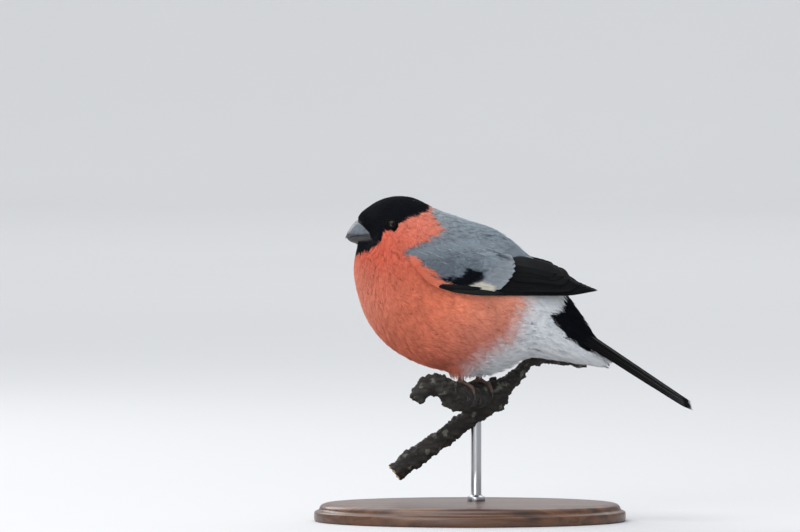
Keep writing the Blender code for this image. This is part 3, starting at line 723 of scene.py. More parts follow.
class Wing:
    """Where a folded wing lies: the body's side, and a plane behind and above it, as distances from the middle."""

    START, STEP, ROWS, COLUMNS = (-34.0, 22.0), (0.5, 0.5), 200, 72
    FAR, NO_BODY, BLEND = 80.0, -20.0, 1.5

    def __init__(self, tree):
        x = self.START[0] + self.STEP[0] * np.arange(self.ROWS)
        z = self.START[1] + self.STEP[1] * np.arange(self.COLUMNS)
        side = np.full((self.ROWS, self.COLUMNS), self.NO_BODY)
        for i, at_x in enumerate(x):
            for j, at_z in enumerate(z):
                hit = tree.ray_cast(Vector((at_x, self.FAR, at_z)), Vector((0, -1, 0)))[0]
                if hit is not None:
                    side[i, j] = hit[1] + WING_GAP
        grid_x, grid_z = np.meshgrid(x, z, indexing="ij")
        at_x, at_y, at_z = WING_PLANE_AT
        plane = at_y - WING_PLANE_SLOPE[0] * (grid_x - at_x) - WING_PLANE_SLOPE[1] * (grid_z - at_z)
        plane = np.minimum(plane, WING_PLANE_MOST)
        near = np.maximum(self.BLEND - np.abs(side - plane), 0) / self.BLEND
        self.table = np.maximum(side, plane) + near * near * self.BLEND / 4
        self.grid_x, self.grid_z = grid_x, grid_z
        core = spline(WING_CORE, np.linspace(0, len(WING_CORE) - 1, 40))
        self.outline = np.concatenate((core[:, :2], core[::-1, [0, 2]]))

    def out(self, x, z):
        """How far from the bird's middle the wing's inner side lies."""
        down = (x - self.START[0]) / self.STEP[0]
        over = (z - self.START[1]) / self.STEP[1]
        i = np.clip(down.astype(int), 0, self.ROWS - 2)
        j = np.clip(over.astype(int), 0, self.COLUMNS - 2)
        f, g = np.clip(down - i, 0, 1), np.clip(over - j, 0, 1)
        low = self.table[i, j] * (1 - f) + self.table[i + 1, j] * f
        high = self.table[i, j + 1] * (1 - f) + self.table[i + 1, j + 1] * f
        return low * (1 - g) + high * g

    def thickness(self, x, z):
        """How thick the solid part of the wing is, down to its thin edge and beyond."""
        rows = np.array(WING_CORE)
        low, high, thick = (np.interp(x, rows[:, 0], rows[:, k]) for k in (1, 2, 3))
        share = np.clip((z - low) / (high - low), 0, 1)
        swell = np.clip(4 * share * (1 - share), 0, 1) ** 0.4
        return WING_CORE_EDGE + (thick - WING_CORE_EDGE) * swell

    def cover(self, x, z):
        """How far the coverts' roots lie from the body, over the solid part and the vanes that start there."""
        thick = self.thickness(x, z)
        row = WING_FIRST + WING_LAYER * (7.2 + 6 * np.clip((z - 33.5) / 9.5, 0, 1)) + 0.1
        ramp = smooth(-6.5, 0.0, x) * (1 - smooth(12.0, 15.0, x)) * (1 - smooth(45.0, 49.0, z))
        front = (1 - smooth(-14.0, -8.0, x + 0.7 * (z - 33.0))) * (1 - smooth(36.5, 39.0, z))
        return thick + np.maximum(row - thick, 0) * ramp * smooth(31.5, 34.5, z) + np.maximum(2.9 - thick, 0) * front

    def sheet(self, side):
        y = side * (self.table + self.cover(self.grid_x, self.grid_z))
        points = np.stack((self.grid_x, y, self.grid_z), axis=-1)
        return Sheet(points, self.START, self.STEP, False, side)

    def drape(self, points, lift):
        """Points of the body's coat, lifted to lie over a wing's solid part where they would lie inside it."""
        x, y, z = np.moveaxis(points, -1, 0)
        inside = inside_by(np.stack((x, z), axis=-1), self.outline) > np.where(x < 4.0, -0.2, 1.4)
        needed = self.out(x, z) + self.cover(x, z) + lift
        side = np.where(y < 0, -1.0, 1.0)
        moved = np.where(inside & (np.abs(y) < needed), side * needed, y)
        return np.stack((x, moved, z), axis=-1)


BODY_SHEET = body_sheet()
TREE = body_tree(BODY_SHEET)
WING = Wing(TREE)


def eye_place(side):
    """The eye ball's centre and the way it looks, from the head's surface at the eye."""
    hit, normal, _, _ = TREE.ray_cast(Vector((EYE_AT[0], side * 60.0, EYE_AT[1])), Vector((0, -side, 0)))
    normal = np.array(normal)
    normal = normal * (1 if normal[1] * side > 0 else -1)
    return np.array(hit) - normal * EYE_DEPTH, normal


EYES = {name: eye_place(side) for name, side in SIDES.items()}


def clear_of_eyes(points):
    """Points moved aside where they would lie over an eye."""
    for centre, normal in EYES.values():
        offset = points - centre
        along = (offset @ normal)[..., None] * normal
        aside = offset - along
        away = np.linalg.norm(aside, axis=-1, keepdims=True)
        near = (away < EYE_OPENING) & (np.linalg.norm(offset, axis=-1, keepdims=True) < 6)
        points = np.where(near, centre + along + aside * (EYE_OPENING / np.maximum(away, 0.05)), points)
    return points


# Markings


def tones(places, named):
    """The named colours, each spread round its place in the side view."""
    total, weight = 0.0, 1e-9
    for pixel, colour in named.values():
        away = np.linalg.norm(places - from_photo(pixel), axis=-1)
        near = np.exp(-(away**2) / (2 * TONE_SPREAD**2)) + 1e-5
        total = total + near[..., None] * linear(colour)
        weight = weight + near[..., None]
    return total / weight


def marked(colour, points, outline, over, softness, ragged, seed):
    """The colour with another laid over it inside an outline of the side view, with a soft uneven edge."""
    depth = depth_in(outline, points)
    depth = depth + ragged * waves(points, 2.2, seed) + 0.6 * ragged * waves(points, 6.0, seed + 1)
    return mix(colour, over, smooth(-softness, softness, depth))


def plumage(points):
    """The colour of the body's small feathers at each point."""
    places = side_view(points)
    colour = tones(places, ORANGE_TONES) * (1 + 0.04 * waves(points, 9.0, 3))[..., None]
    white = mix(tone("white"), tone("vent"), 0.5 + 0.5 * np.clip(waves(points, 6.0, 4), -1, 1))
    colour = marked(colour, points, WHITE, white, 6.0, 0.8, 10)
    grey = tones(places, GREY_TONES) * (1 + 0.03 * waves(points, 7.0, 5))[..., None]
    white_top = smooth(22.5, 25.5, points[..., 0] + 0.8 * waves(points, 4.0, 6))
    colour = marked(colour, points, GREY, mix(grey, white, white_top), 1.1, 0.6, 20)
    colour = marked(colour, points, GAP_SHADE, tone("painted_gap_shade"), 0.5, 0.15, 55)
    colour = marked(colour, points, TAIL_COVERTS, tone("black"), 0.5, 0.2, 30)
    return marked(colour, points, CAP, tone("black"), 0.25, 0.14, 40)


def wing_paint(points):
    """The colour of the wing's coverts at each point."""
    places = side_view(points)
    colour = tones(places, GREY_TONES) * (1 + 0.05 * waves(points, 5.0, 7))[..., None]
    colour = marked(colour, points, WING_BAR, tone("bar"), 0.8, 0.3, 50)
    colour = marked(colour, points, GAP_SHADE, tone("painted_gap_shade"), 0.5, 0.15, 55)
    return marked(colour, points, WING_PATCH, tone("black"), 0.8, 0.5, 60)


# Coat

BLADE = np.array(
    ((1, 2, 5), (1, 5, 4), (2, 0, 3), (2, 3, 5), (0, 1, 4), (0, 4, 3), (4, 5, 6), (5, 3, 6), (3, 4, 6), (0, 2, 1))
)
# Which way the corners of each face of a blade look: 1 outwards, -1 down at the skin.
BLADE_FACING = np.array((1, 1, 1, 1, -1, -1, 1, 1, -1, 1))
# The flat form of a blade's points on the map: its row along the barb, the side of it, and a small step ahead.
BLADE_FLAT = ((0, -1, 0.0), (0, 1, 0.0), (0, 0, 0.01), (1, -1, 0.0), (1, 1, 0.0), (1, 0, 0.01), (2, 0, 0.0))
BLADE_POINTS = len(BLADE_FLAT)
# Groups of barbs that lean together, on each side of a feather.
LOCKS = 4
# How long a barb is, how deep it starts and how far it strays up or down, as shares of its feather's length.
BARB_REACH, BARB_ROOT_DEPTH, BARB_LIFT = 0.40, 0.09, 0.012
# How far a barb's shading leans, how far feathers and barbs differ in tone, and the tone at middle and tip.
BARB_LEAN, FEATHER_MOTTLE, BARB_MOTTLE, MIDDLE_TINT, TIP_TINT = 0.065, 0.025, 0.04, 0.97, 1.05
# How much of the map the patch of one feather takes up.
PATCH = 0.003


def scatter(sheet, low, high, spacing, seed, keep=None):
    """Roots spread evenly over part of a sheet, none nearer to another than the spacing, which is a length or a
    function of the sheet's first parameter."""
    draw = np.random.default_rng(seed)
    apart = spacing if callable(spacing) else lambda at: np.full_like(at, spacing)
    area = np.linalg.norm(np.cross(sheet.along, sheet.across), axis=-1)
    rows, columns = area.shape
    u = sheet.start[0] + sheet.step[0] * np.arange(rows)[:, None] + np.zeros((1, columns))
    v = sheet.start[1] + sheet.step[1] * np.arange(columns)[None, :] + np.zeros((rows, 1))
    inside = (u >= low[0]) & (u <= high[0]) & (v >= low[1]) & (v <= high[1])
    weight = np.where(inside, area / apart(u) ** 2, 0.0).ravel()
    tries = int(weight.sum() * sheet.step[0] * sheet.step[1] * 12)
    picked = draw.choice(len(weight), size=tries, p=weight / weight.sum())
    u = u.ravel()[picked] + sheet.step[0] * draw.uniform(-0.5, 0.5, tries)
    v = v.ravel()[picked] + sheet.step[1] * draw.uniform(-0.5, 0.5, tries)
    places = sheet.point(u, v)
    if keep is not None:
        wanted = keep(places)
        u, v, places = u[wanted], v[wanted], places[wanted]
    least = apart(u) ** 2
    taken, chosen = np.empty((len(u), 3)), []
    for i, place in enumerate(places):
        count = len(chosen)
        away = taken[:count] - place
        if not count or (away * away).sum(axis=1).min() > least[i]:
            taken[count] = place
            chosen.append(i)
    return u[chosen], v[chosen]


def fans(sheet, u, v, flow, size, draw, **style):
    """Small feathers, each a fan of barbs. A barb is a closed blade of seven points. Returns arrays for them.

    style holds barbs (how many), depth (of the roots under the sheet), rise (of the tips over it), blade (a barb's
    width) and paint, and may hold spread, turn, camber, drape, rough, own (how far each barb has its own colour),
    root_tint (how dark the barbs' roots are, a painted shade where they start deep under other feathers) and pale
    (how far the tips take the rim tone, a painted backlight)."""
    barbs, spread = style["barbs"], style.get("spread", 0.34)
    count = len(u)

    def each(name, default=None):
        return np.broadcast_to(style.get(name, default), count)[:, None, None]

    normal = sheet.normal(u, v)
    along, across = sheet.read(sheet.along, u, v), sheet.read(sheet.across, u, v)
    flow = unit(flow - normal * (flow * normal).sum(-1, keepdims=True))
    turn = each("turn", 0.0)[..., 0]
    flow = np.cos(turn) * flow + np.sin(turn) * np.cross(normal, flow)
    sideways = np.cross(normal, flow)
    aa, ab, bb = ((p * q).sum(-1, keepdims=True) for p, q in ((along, along), (along, across), (across, across)))
    det = aa * bb - ab * ab
    to_u, to_v = (bb * along - ab * across) / det, (aa * across - ab * along) / det

    place = (np.arange(barbs) + draw.uniform(0.1, 0.9, (count, barbs))) / barbs
    side = np.where(np.arange(barbs) % 2 == 0, 1.0, -1.0)[None, :] * np.ones((count, 1))
    lock = np.minimum((place * LOCKS).astype(int), LOCKS - 1) + LOCKS * (side > 0)
    stray = np.take_along_axis(draw.normal(0, 1, (count, 2 * LOCKS)), lock, axis=1)
    grown = size[:, None]
    start = grown * (0.05 + 0.6 * place)
    reach = grown * (BARB_REACH + 0.05 * draw.normal(size=(count, barbs)) + 0.02 * stray)
    half = grown * spread * (1 - place**2.4) ** 0.6 * draw.uniform(0.6, 1.1, (count, barbs))
    tip_side = side * half + grown * 0.03 * stray
    start[:, 0], reach[:, 0], tip_side[:, 0] = 0.0, size * 0.98, 0.0
    down = np.stack((start, start + 0.55 * reach, start + reach * (0.78 + 0.22 * place)), axis=-1)
    over = np.stack((0.010 * side * grown, 0.66 * tip_side, tip_side), axis=-1)

    share = down / grown[..., None]
    depth, rise = each("depth"), each("rise")
    shallow = np.minimum(BARB_ROOT_DEPTH * grown[..., None], depth)
    height = -(depth - shallow) * (1 - smooth(0.0, 0.22, share)) - shallow * (1 - share) + rise * share**2
    height -= each("camber", 0.03) * grown[..., None] * (over / (grown[..., None] * spread)) ** 2
    height += BARB_LIFT * grown[..., None] * share * draw.normal(size=(count, barbs, 1))

    step_u = down * (to_u * flow).sum(-1)[:, None, None] + over * (to_u * sideways).sum(-1)[:, None, None]
    step_v = down * (to_v * flow).sum(-1)[:, None, None] + over * (to_v * sideways).sum(-1)[:, None, None]
    at_u, at_v = u[:, None, None] + step_u, v[:, None, None] + step_v
    out = sheet.normal(at_u, at_v)
    middle = sheet.point(at_u, at_v) + out * height[..., None]
    if "drape" in style:
        middle = style["drape"](middle)

    ahead = unit(np.stack((middle[:, :, 1] - middle[:, :, 0], middle[:, :, 2] - middle[:, :, 0]), axis=2))
    ahead = np.concatenate((ahead, ahead[:, :, 1:]), axis=2)
    wide = unit(np.cross(out, ahead))
    up = np.cross(ahead, wide)
    blade = each("blade")[..., None] * np.array((1.0, 0.9, 0.0))[None, None, :, None]
    blade = blade * draw.uniform(0.75, 1.25, (count, barbs, 1, 1))
    low, high = middle - wide * blade / 2, middle + wide * blade / 2
    ridge = middle + up * blade * 0.4
    points = np.stack((low, high, ridge), axis=3)
    points = np.concatenate((points[:, :, 0], points[:, :, 1], middle[:, :, 2:3]), axis=2)

    rough = each("rough", 1.0)
    lean = draw.normal(0, BARB_LEAN, (count, barbs, 1, 3)) * rough[..., None]
    smooth_out = out + lean
    normals = np.stack((smooth_out - 0.3 * wide, smooth_out + 0.3 * wide, smooth_out), axis=3)
    normals = np.concatenate((normals[:, :, 0], normals[:, :, 1], smooth_out[:, :, 2:3]), axis=2)

    own = mix(middle[:, :, 1], middle[:, :, 2], np.full((count, barbs), 0.4))
    shared = own.mean(axis=1, keepdims=True)
    colour = style["paint"](shared + (own - shared) * style.get("own", 1.0))
    colour = colour * (1 + FEATHER_MOTTLE * rough * draw.normal(size=(count, 1, 1)))
    colour = colour * (1 + BARB_MOTTLE * rough * draw.normal(size=(count, barbs, 1)))
    # Barbs are darker at their roots: painted shade where they start deep under the feathers over them.
    root_tint = 1 - (1 - style.get("root_tint", 0.9)) * rough
    # pale lays the rim tone on the tips, a painted backlight.
    pale = each("pale", 0.0)[..., 0] * np.ones((1, barbs))
    end = mix(colour * TIP_TINT, np.broadcast_to(tone("rim"), colour.shape), pale)
    tint = np.stack([colour * root_tint] * 3 + [colour * MIDDLE_TINT] * 3 + [end], axis=2)

    chart = sheet.chart(u, v)[:, None, None, :]
    half_blade = (style["blade"] / size)[:, None] / 2 * np.ones((1, barbs))
    flat_w = over / grown[..., None]
    flat = [
        np.stack((share[..., row] + ahead_by - 0.5, flat_w[..., row] + aside * half_blade), axis=-1)
        for row, aside, ahead_by in BLADE_FLAT
    ]
    patch = chart + PATCH * np.stack(flat, axis=2)
    return {"points": points, "normals": unit(normals), "tint": tint, "patch": patch}


def coat(name, made, slot):
    """One piece of coat from the arrays of its fans."""
    made = {key: values.reshape(-1, values.shape[-1]) for key, values in made.items()}
    blades = len(made["points"]) // BLADE_POINTS
    faces = (BLADE[None] + BLADE_POINTS * np.arange(blades)[:, None, None]).reshape(-1, 3)
    facing = np.tile(np.repeat(BLADE_FACING, 3), blades)
    return piece(name, made.pop("points"), faces, PLUMAGE, facing=facing, slot=slot, **made)


def open_to_view(places):
    """True for roots that no wing covers and that lie neither on the bill nor on an eye."""
    under_wing = inside_by(places[:, [0, 2]], WING.outline) > 1.2
    taken = (depth_in(BARE_FACE, places) > 0.0) & (places[:, 0] < 0)
    for centre, _ in EYES.values():
        taken |= np.linalg.norm(places - centre, axis=-1) < EYE_NO_ROOTS
    return ~(under_wing | taken)


# The folded wing's outline with all its vanes, in the side view.
WHOLE_WING = np.array((
    (-23.6, 45.0), (-15.4, 34.4), (-4.0, 29.4), (20.0, 28.6), (49.5, 29.6), (50.5, 31.5), (42.0, 38.0),
    (33.0, 43.5), (25.0, 43.0), (8.0, 51.5), (-12.0, 50.0),
))

# Zones of the body's coat: stations, spacing and blade width as shares of feather length, barbs, how far each
# barb has its own colour, pieces a side, and slot.
ZONES = (
    ("rump", (0.0, 5.0), 0.29, 0.030, 42, 1.0, 1, "plumage_breast"),
    ("body", (5.0, 9.9), 0.27, 0.030, 44, 0.4, 3, "plumage_breast"),
    ("neck", (9.9, 12.2), 0.28, 0.032, 36, 0.6, 2, "plumage_breast"),
    ("head", (12.2, 18.0), 0.28, 0.038, 28, 0.9, 2, "plumage_black"),
)


def feather_size(t):
    return by_station(FEATHER_SIZE, t)


def fluff(places):
    """How far the tips of the coat stand off: most along the wing's lower edge and under the belly."""
    x, z = places[:, 0], places[:, 2]
    edge = by_station([(r[0], r[1]) for r in WING_CORE] + [(45.0, 30.5)], x)
    beside = smooth(-22.0, -16.0, x) * (1 - smooth(6.0, 20.0, x))
    below_wing = np.exp(-(((z - edge + 2.0) / 2.6) ** 2)) * beside
    belly = smooth(4.0, 0.0, z) * smooth(-22.0, -12.0, x) * (1 - smooth(8.0, 18.0, x))
    return 0.8 * below_wing + 0.8 * belly


def grow_body_coat():
    """The coat over the whole body, zone by zone, each in strips round the body."""
    for n, (name, (low, high), apart, blade, barbs, own, pieces, slot) in enumerate(ZONES):
        draw = np.random.default_rng(100 + n)
        u, v = scatter(
            BODY_SHEET, (low, -np.pi), (high, np.pi), lambda t: apart * feather_size(t), 200 + n, open_to_view
        )
        places = BODY_SHEET.point(u, v)
        flow = -BODY_SHEET.read(BODY_SHEET.along, u, v)
        size = feather_size(u) * draw.uniform(0.88, 1.12, len(u)) * (0.6 + 0.4 * smooth(0.0, 0.9, u))
        under = inside_by(places[:, [0, 2]], WHOLE_WING) > 0.0
        rise = np.where(under, -0.15, 0.025 * size + 0.02 + fluff(places))
        # Along the breast's front edge the tips take the rim tone: painted backlight.
        front = smooth(-36.0, -43.0, places[:, 0]) * (places[:, 2] < 46.0)
        turn = 0.11 * waves(places, 13.0, 300 + n) + 0.04 * draw.normal(size=len(u))
        pale_area = smooth(-4.0, 3.0, depth_in(WHITE, places))
        for k, part in enumerate(np.array_split(np.argsort(v), 2 * pieces)):
            made = fans(
                BODY_SHEET, u[part], v[part], flow[part], size[part], draw,
                barbs=barbs, depth=by_station(COAT_DEPTH, u[part]) * 0.85, rise=rise[part], blade=blade * size[part],
                turn=turn[part], paint=plumage, pale=0.5 * front[part], own=own, rough=1 - 0.6 * pale_area[part],
                camber=0.03 - 0.015 * pale_area[part],
                drape=lambda p: clear_of_eyes(WING.drape(p, 0.25)),
            )
            coat(f"coat_{name}_{k + 1}", made, slot)


def grow_thighs():
    """Fluff that hangs from the belly round each leg, down to just above the toes."""
    for n, (name, spot) in enumerate(FOOT_SPOTS.items()):
        down, turn = np.linspace(0, 1, 41)[:, None], half_turns(64)[None, :]
        radius = 7.6 - 5.4 * down
        x = spot[0] + (1 - down) * 2.5 + radius * 1.4 * np.cos(turn)
        y = spot[1] + radius * np.sin(turn)
        z = 5.2 - 8.6 * down**1.15 + 0 * turn
        sheet = Sheet(np.stack((x, y, z), axis=-1), (0.0, -np.pi), (1 / 40, 2 * np.pi / 64), True, -1.0)
        draw = np.random.default_rng(500 + n)
        u, v = scatter(sheet, (0.05, -np.pi), (0.66, np.pi), 1.2, 510 + n)
        size = draw.uniform(3.0, 4.4, len(u)) * (1 - 0.25 * u)
        made = fans(
            sheet, u, v, sheet.read(sheet.along, u, v), size, draw, barbs=26, depth=0.6, rise=0.02 * size,
            blade=0.03 * size, turn=0.1 * draw.normal(size=len(u)), paint=plumage, own=0.3, root_tint=0.75,
        )
        coat(f"coat_thigh_{name}", made, "plumage_breast")


def grow_loose(label, seed, area, spacing, keep, lengths, rise, turn, slot, **style):
    """A few longer feathers on each side of the bird that lie loose over its coat or, without area, its wing. area
    is the stations, lengths the shortest and longest, and rise how far they stand off by length and in all."""
    for n, (name, side) in enumerate(SIDES.items()):
        draw = np.random.default_rng(seed + n)
        sheet = BODY_SHEET if area else WING.sheet(side)
        low, high = ((area[0], -np.pi), (area[1], np.pi)) if area else SCAPULAR_AREA
        u, v = scatter(sheet, low, high, spacing, seed + 10 + n, lambda p: (keep(p) > 0) & (p[:, 1] * side > 0))
        size = draw.uniform(*lengths, len(u))
        along = sheet.read(sheet.along, u, v)
        flow = -along if area else along - SCAPULAR_SLOPE * sheet.read(sheet.across, u, v)
        turns = turn * draw.normal(size=len(u))
        made = fans(sheet, u, v, flow, size, draw, rise=rise[0] * size + rise[1], turn=turns, **style)
        coat(f"coat_{label}_{name}", made, slot)


# The pale grey of loose strands: partly their own tone, partly a painted highlight.
def stray_tone_and_highlight(points):
    return np.broadcast_to(tone("stray"), points.shape)


def grow_strays():
    """Single pale hairs that stand out of the coat at the side of the neck; their pale grey is partly their own tone
    and partly a painted highlight.
    """
    grow_loose(
        "strays", 600, (8.0, 12.4), 3.3, lambda p: inside_by(p[:, [0, 2]], from_photo(STRAYS)), (4.0, 6.5),
        (0.08, 0.0), 0.25, "plumage_grey", barbs=3, spread=0.1, depth=0.8, blade=0.09, paint=stray_tone_and_highlight,
        root_tint=0.7, drape=lambda p: WING.drape(p, 0.5),
    )


def grow_shoulder():
    """Longer orange feathers of the breast's side, whose loose ends lie over the front of the wing."""
    grow_loose(
        "shoulder", 640, (7.5, 12.0), 1.5, lambda p: depth_in(SHOULDER_RIM, p), (5.0, 7.5), (0.05, 0.0), 0.16,
        "plumage_breast", barbs=12, spread=0.2, depth=0.7, blade=0.13, own=0.2, rough=0.7,
        paint=lambda p: plumage(p + SHOULDER_SHIFT), drape=lambda p: WING.drape(p, 0.45),
    )


def grow_scapulars():
    """The loose pale edges of the longest feathers over the wing's root; their pale grey is partly their own tone and
    partly a painted highlight.
    """
    grow_loose(
        "scapular_edges", 680, None, 1.9, lambda p: depth_in(SCAPULAR_RIM, p), (8.0, 11.5), (0.03, 0.8), 0.05,
        "plumage_grey", barbs=3, spread=0.03, depth=0.5, blade=0.16, paint=stray_tone_and_highlight, root_tint=0.6,
    )


def build_skin():
    """One skin under the whole coat, with a pit round each eye."""
    t, angle = np.meshgrid(np.linspace(0, HEAD_END, 220), half_turns(160), indexing="ij")
    depth = by_station(COAT_DEPTH, t)
    surface = BODY_SHEET.point(t, angle)
    for centre, normal in EYES.values():
        away = np.linalg.norm(surface - (centre + normal * EYE_DEPTH), axis=-1)
        depth = np.maximum(depth, 2.0 * (1 - smooth(1.7, 2.5, away)))
    points = surface - BODY_SHEET.normal(t, angle) * depth[..., None]
    black = np.broadcast_to(tone("black"), surface.shape)
    # The skin takes the coat's colour a little darker: painted shade under the coat.
    tint = plumage(surface) * 0.92
    for centre, _ in EYES.values():
        tint = mix(black, tint, smooth(3.2, 3.9, np.linalg.norm(surface - centre, axis=-1)))
    tint = mix(tint, black, smooth(-0.3, 0.3, depth_in(BARE_FACE, surface)))
    joined, faces = closed_net(points)
    piece(
        "skin", joined, faces, SKIN, tint=with_ends(tint), patch=with_ends(BODY_SHEET.chart(t, angle)),
        replaces=("head", "neck", "torso"), slot="plumage_breast",
    )


# Vanes of the wings and the tail

ACROSS = np.array((-1.0, -0.85, -0.6, -0.3, -0.06, 0.0, 0.06, 0.3, 0.6, 0.85, 1.0))
SHARES = np.concatenate((np.linspace(0, 0.7, 12)[:-1], np.linspace(0.7, 1.0, 13)))
VANE_THICKNESS, VANE_SWEEP, SHAFT_HEIGHT, BARB_PITCH = 0.13, 0.035, 0.07, 0.42


def vane_outline(share, blunt):
    """Half width of a vane along its length, out of 1. blunt is how broad its tip is."""
    opens = 0.35 + 0.65 * smooth(0.0, 0.3, share)
    turns = 1 - 0.28 / (0.7 + 0.9 * blunt)
    beyond = np.maximum(share - turns, 0.0) / (1 - turns)
    closes = np.clip(1 - beyond ** (1.6 + 1.2 * blunt), 0, 1) ** (0.9 - 0.4 * min(blunt, 1.0))
    return opens * np.maximum(closes, 0.02)


def vane(lay, half_width, blunt, quill, camber, draw, paint):
    """A closed feather: its net, its tint and the turns of its barbs. lay(share, across in mm, height) gives its
    points, and paint(share, across, points) its colour. quill is how far the shaft lies off the middle, out of the
    half width."""
    share = SHARES[:, None] * np.ones((1, len(ACROSS)))
    across = ACROSS[None, :] * np.ones((len(SHARES), 1))
    ragged = 1 + 0.05 * np.cumsum(draw.normal(size=(len(SHARES), 1)), axis=0) * (np.abs(across) > 0.7) * 0.4
    half = half_width * vane_outline(share, blunt) * ragged
    middle = quill * half_width * vane_outline(share, blunt)
    along = np.clip(share - VANE_SWEEP * across**2 * smooth(0.2, 0.9, share), 0, 1)
    width = np.where(across == 0, middle, across * half)
    width = np.where(np.abs(across) < 0.1, middle + across * half, width)
    ridge = SHAFT_HEIGHT * (np.abs(across) < 0.01) * (1 - 0.6 * share)
    top = camber * (1 - across**2) + ridge
    upper, lower = lay(along, width, top), lay(along, width, top - ridge - VANE_THICKNESS)
    tint = paint(along, across, upper)
    length = np.linalg.norm(upper[-1, 5] - upper[0, 5])
    barb = (along * length * 0.75 - np.abs(width - middle) * 1.1) * 2 * np.pi / BARB_PITCH

    def both(values, other):
        return np.concatenate((values, other[:, ::-1]), axis=1)

    return closed_net(both(upper, lower)), with_ends(both(tint, tint)), with_ends(both(barb, barb)[..., None])


def vanes_piece(name, made, look, slot, replaces=()):
    """One piece from several vanes."""
    nets, tints, barbs = zip(*made)
    points, faces = join(nets)
    piece(
        name, points, faces, look, tint=np.concatenate(tints), numbers={"barb": np.concatenate(barbs)}, slot=slot,
        replaces=replaces,
    )


def flight_paint(along, across, points):
    colour = tone("wing_black") * (1 + 0.2 * waves(points, 4.0, 70))[..., None]
    # The vanes' edges are lighter: partly their own tone, partly painted sheen.
    rim = smooth(0.8, 1.0, np.abs(across))
    return mix(colour, tone("edge_tone_and_sheen"), 0.4 * rim)


def band_paint(along, across, points):
    """The long coverts of the wing's front edge: dark, with a thin paler outer edge."""
    colour = tone("band") * (1 + 0.2 * waves(points, 4.0, 71))[..., None]
    rim = smooth(0.7, 1.0, across) * smooth(0.35, 0.6, along) * (1 - smooth(0.85, 1.0, along))
    return mix(colour, tone("band_edge"), 0.6 * rim)


def covert_paint(along, across, points):
    """The greater coverts: pale grey tips that make the bar, and cream edges low down."""
    colour = wing_paint(points)
    depth = depth_in(BAR_LOW_CREAM, points)
    cream = smooth(-0.9, 0.7, depth + 0.3 * waves(points, 1.2, 72))
    cream = cream * (0.3 + 0.7 * smooth(0.2, -0.4, across))
    # One side of each covert near the low cream edges is darkened to the gap tone: painted shade between overlapping
    # coverts.
    inner = smooth(0.2, 0.8, across) * smooth(-1.6, 0.4, depth)
    colour = mix(colour, tone("painted_gap_shade"), 0.7 * inner)
    colour = mix(colour, tone("cream"), cream)
    rim = smooth(0.8, 1.0, np.maximum(np.abs(across) * (along > 0.6), along * 1.01))
    return mix(colour, tone("bar_edge"), 0.5 * rim * (1 - cream))


def wing_vanes(name, side):
    """All rows of vanes of a folded wing."""
    draw = np.random.default_rng(7)
    rows = {}
    for row, count, roots, tips, half_width, (root_layer, tip_layer, layers), bow, blunt in WING_ROWS:
        rows[row] = []
        for share in np.arange(count) / (count - 1):
            root, tip = (spline(ends, share * (len(ends) - 1)) for ends in (roots, tips))
            ahead = unit(tip - root)
            aside = np.array((-ahead[1], ahead[0]))
            root_lift = WING_FIRST + WING_LAYER * (root_layer + 0.4 * share * layers)
            tip_lift = WING_FIRST + WING_LAYER * (tip_layer + share * layers)

            def lay(along, width, height):
                bend = bow * np.sin(np.pi * along)
                x = root[0] + (tip - root)[0] * along + aside[0] * (width + bend)
                z = root[1] + (tip - root)[1] * along + aside[1] * (width + bend)
                lift = root_lift + (tip_lift - root_lift) * np.minimum(along / 0.35, 1)
                return np.stack((x, side * (WING.out(x, z) + lift + height), z), axis=-1)

            paint = {"greater_coverts": covert_paint, "primary_coverts": band_paint}.get(row, flight_paint)
            camber = 0.35 if row in ("greater_coverts", "tertials") else 0.22
            rows[row].append(vane(lay, half_width, blunt, -0.2, camber, draw, paint))
    coverts = rows.pop("greater_coverts")
    vanes_piece(f"flight_{name}", sum(rows.values(), []), VANE, "plumage_flight", (f"wing_{name}",))
    vanes_piece(f"greater_coverts_{name}", coverts, SOFT_VANE, "plumage_grey")


def wing_skin(name, side):
    """The solid part of a wing under its small coverts."""
    rings = []
    for x, low, high, _ in spline(WING_CORE, np.linspace(0, len(WING_CORE) - 1, 48)):
        z = low + (high - low) * (1 - np.cos(np.pi * np.arange(24) / 23)) / 2
        at_x = np.full_like(z, x)
        base = WING.out(at_x, z)
        outer = np.stack((at_x, side * (base + WING.thickness(at_x, z) * 0.75 - 0.1), z), axis=-1)
        inner = np.stack((at_x, side * (base - 1.2), z), axis=-1)
        rings.append(np.concatenate((outer, inner[::-1])))
    points, faces = closed_net(rings)
    # Under the small coverts the skin takes their colour much darker, painted shade under them; elsewhere it is
    # black.
    tint = mix(tone("wing_black"), wing_paint(points) * 0.6, smooth(-0.5, 1.0, depth_in(SOFT_COVERTS, points)))
    piece(f"wing_skin_{name}", points, faces, SKIN, tint=tint, slot="plumage_grey")


def wing_coat(name, side):
    """The small coverts over the solid part of a wing, longer towards its back."""
    sheet = WING.sheet(side)
    draw = np.random.default_rng(17)
    u, v = scatter(
        sheet, (-26.0, 28.0), (28.0, 53.0), 1.15, 27,
        lambda p: (depth_in(SOFT_COVERTS, p) > 0) & (inside_by(p[:, [0, 2]], WING.outline) > -0.4),
    )
    places = sheet.point(u, v)
    upper = smooth(-2.0, 2.0, depth_in(SCAPULARS, places))
    size = (4.2 + 3.2 * upper) * draw.uniform(0.88, 1.12, len(u))
    slope = -0.32 - 0.1 * upper
    flow = sheet.read(sheet.along, u, v) + slope[:, None] * sheet.read(sheet.across, u, v)
    made = fans(
        sheet, u, v, flow, size, draw, barbs=30, depth=0.5, rise=0.02 * size + 0.3, blade=0.036 * size,
        turn=0.1 * waves(places, 9.0, 81) + 0.05 * draw.normal(size=len(u)), paint=wing_paint, own=0.7,
    )
    coat(f"coat_wing_{name}", made, "plumage_grey")


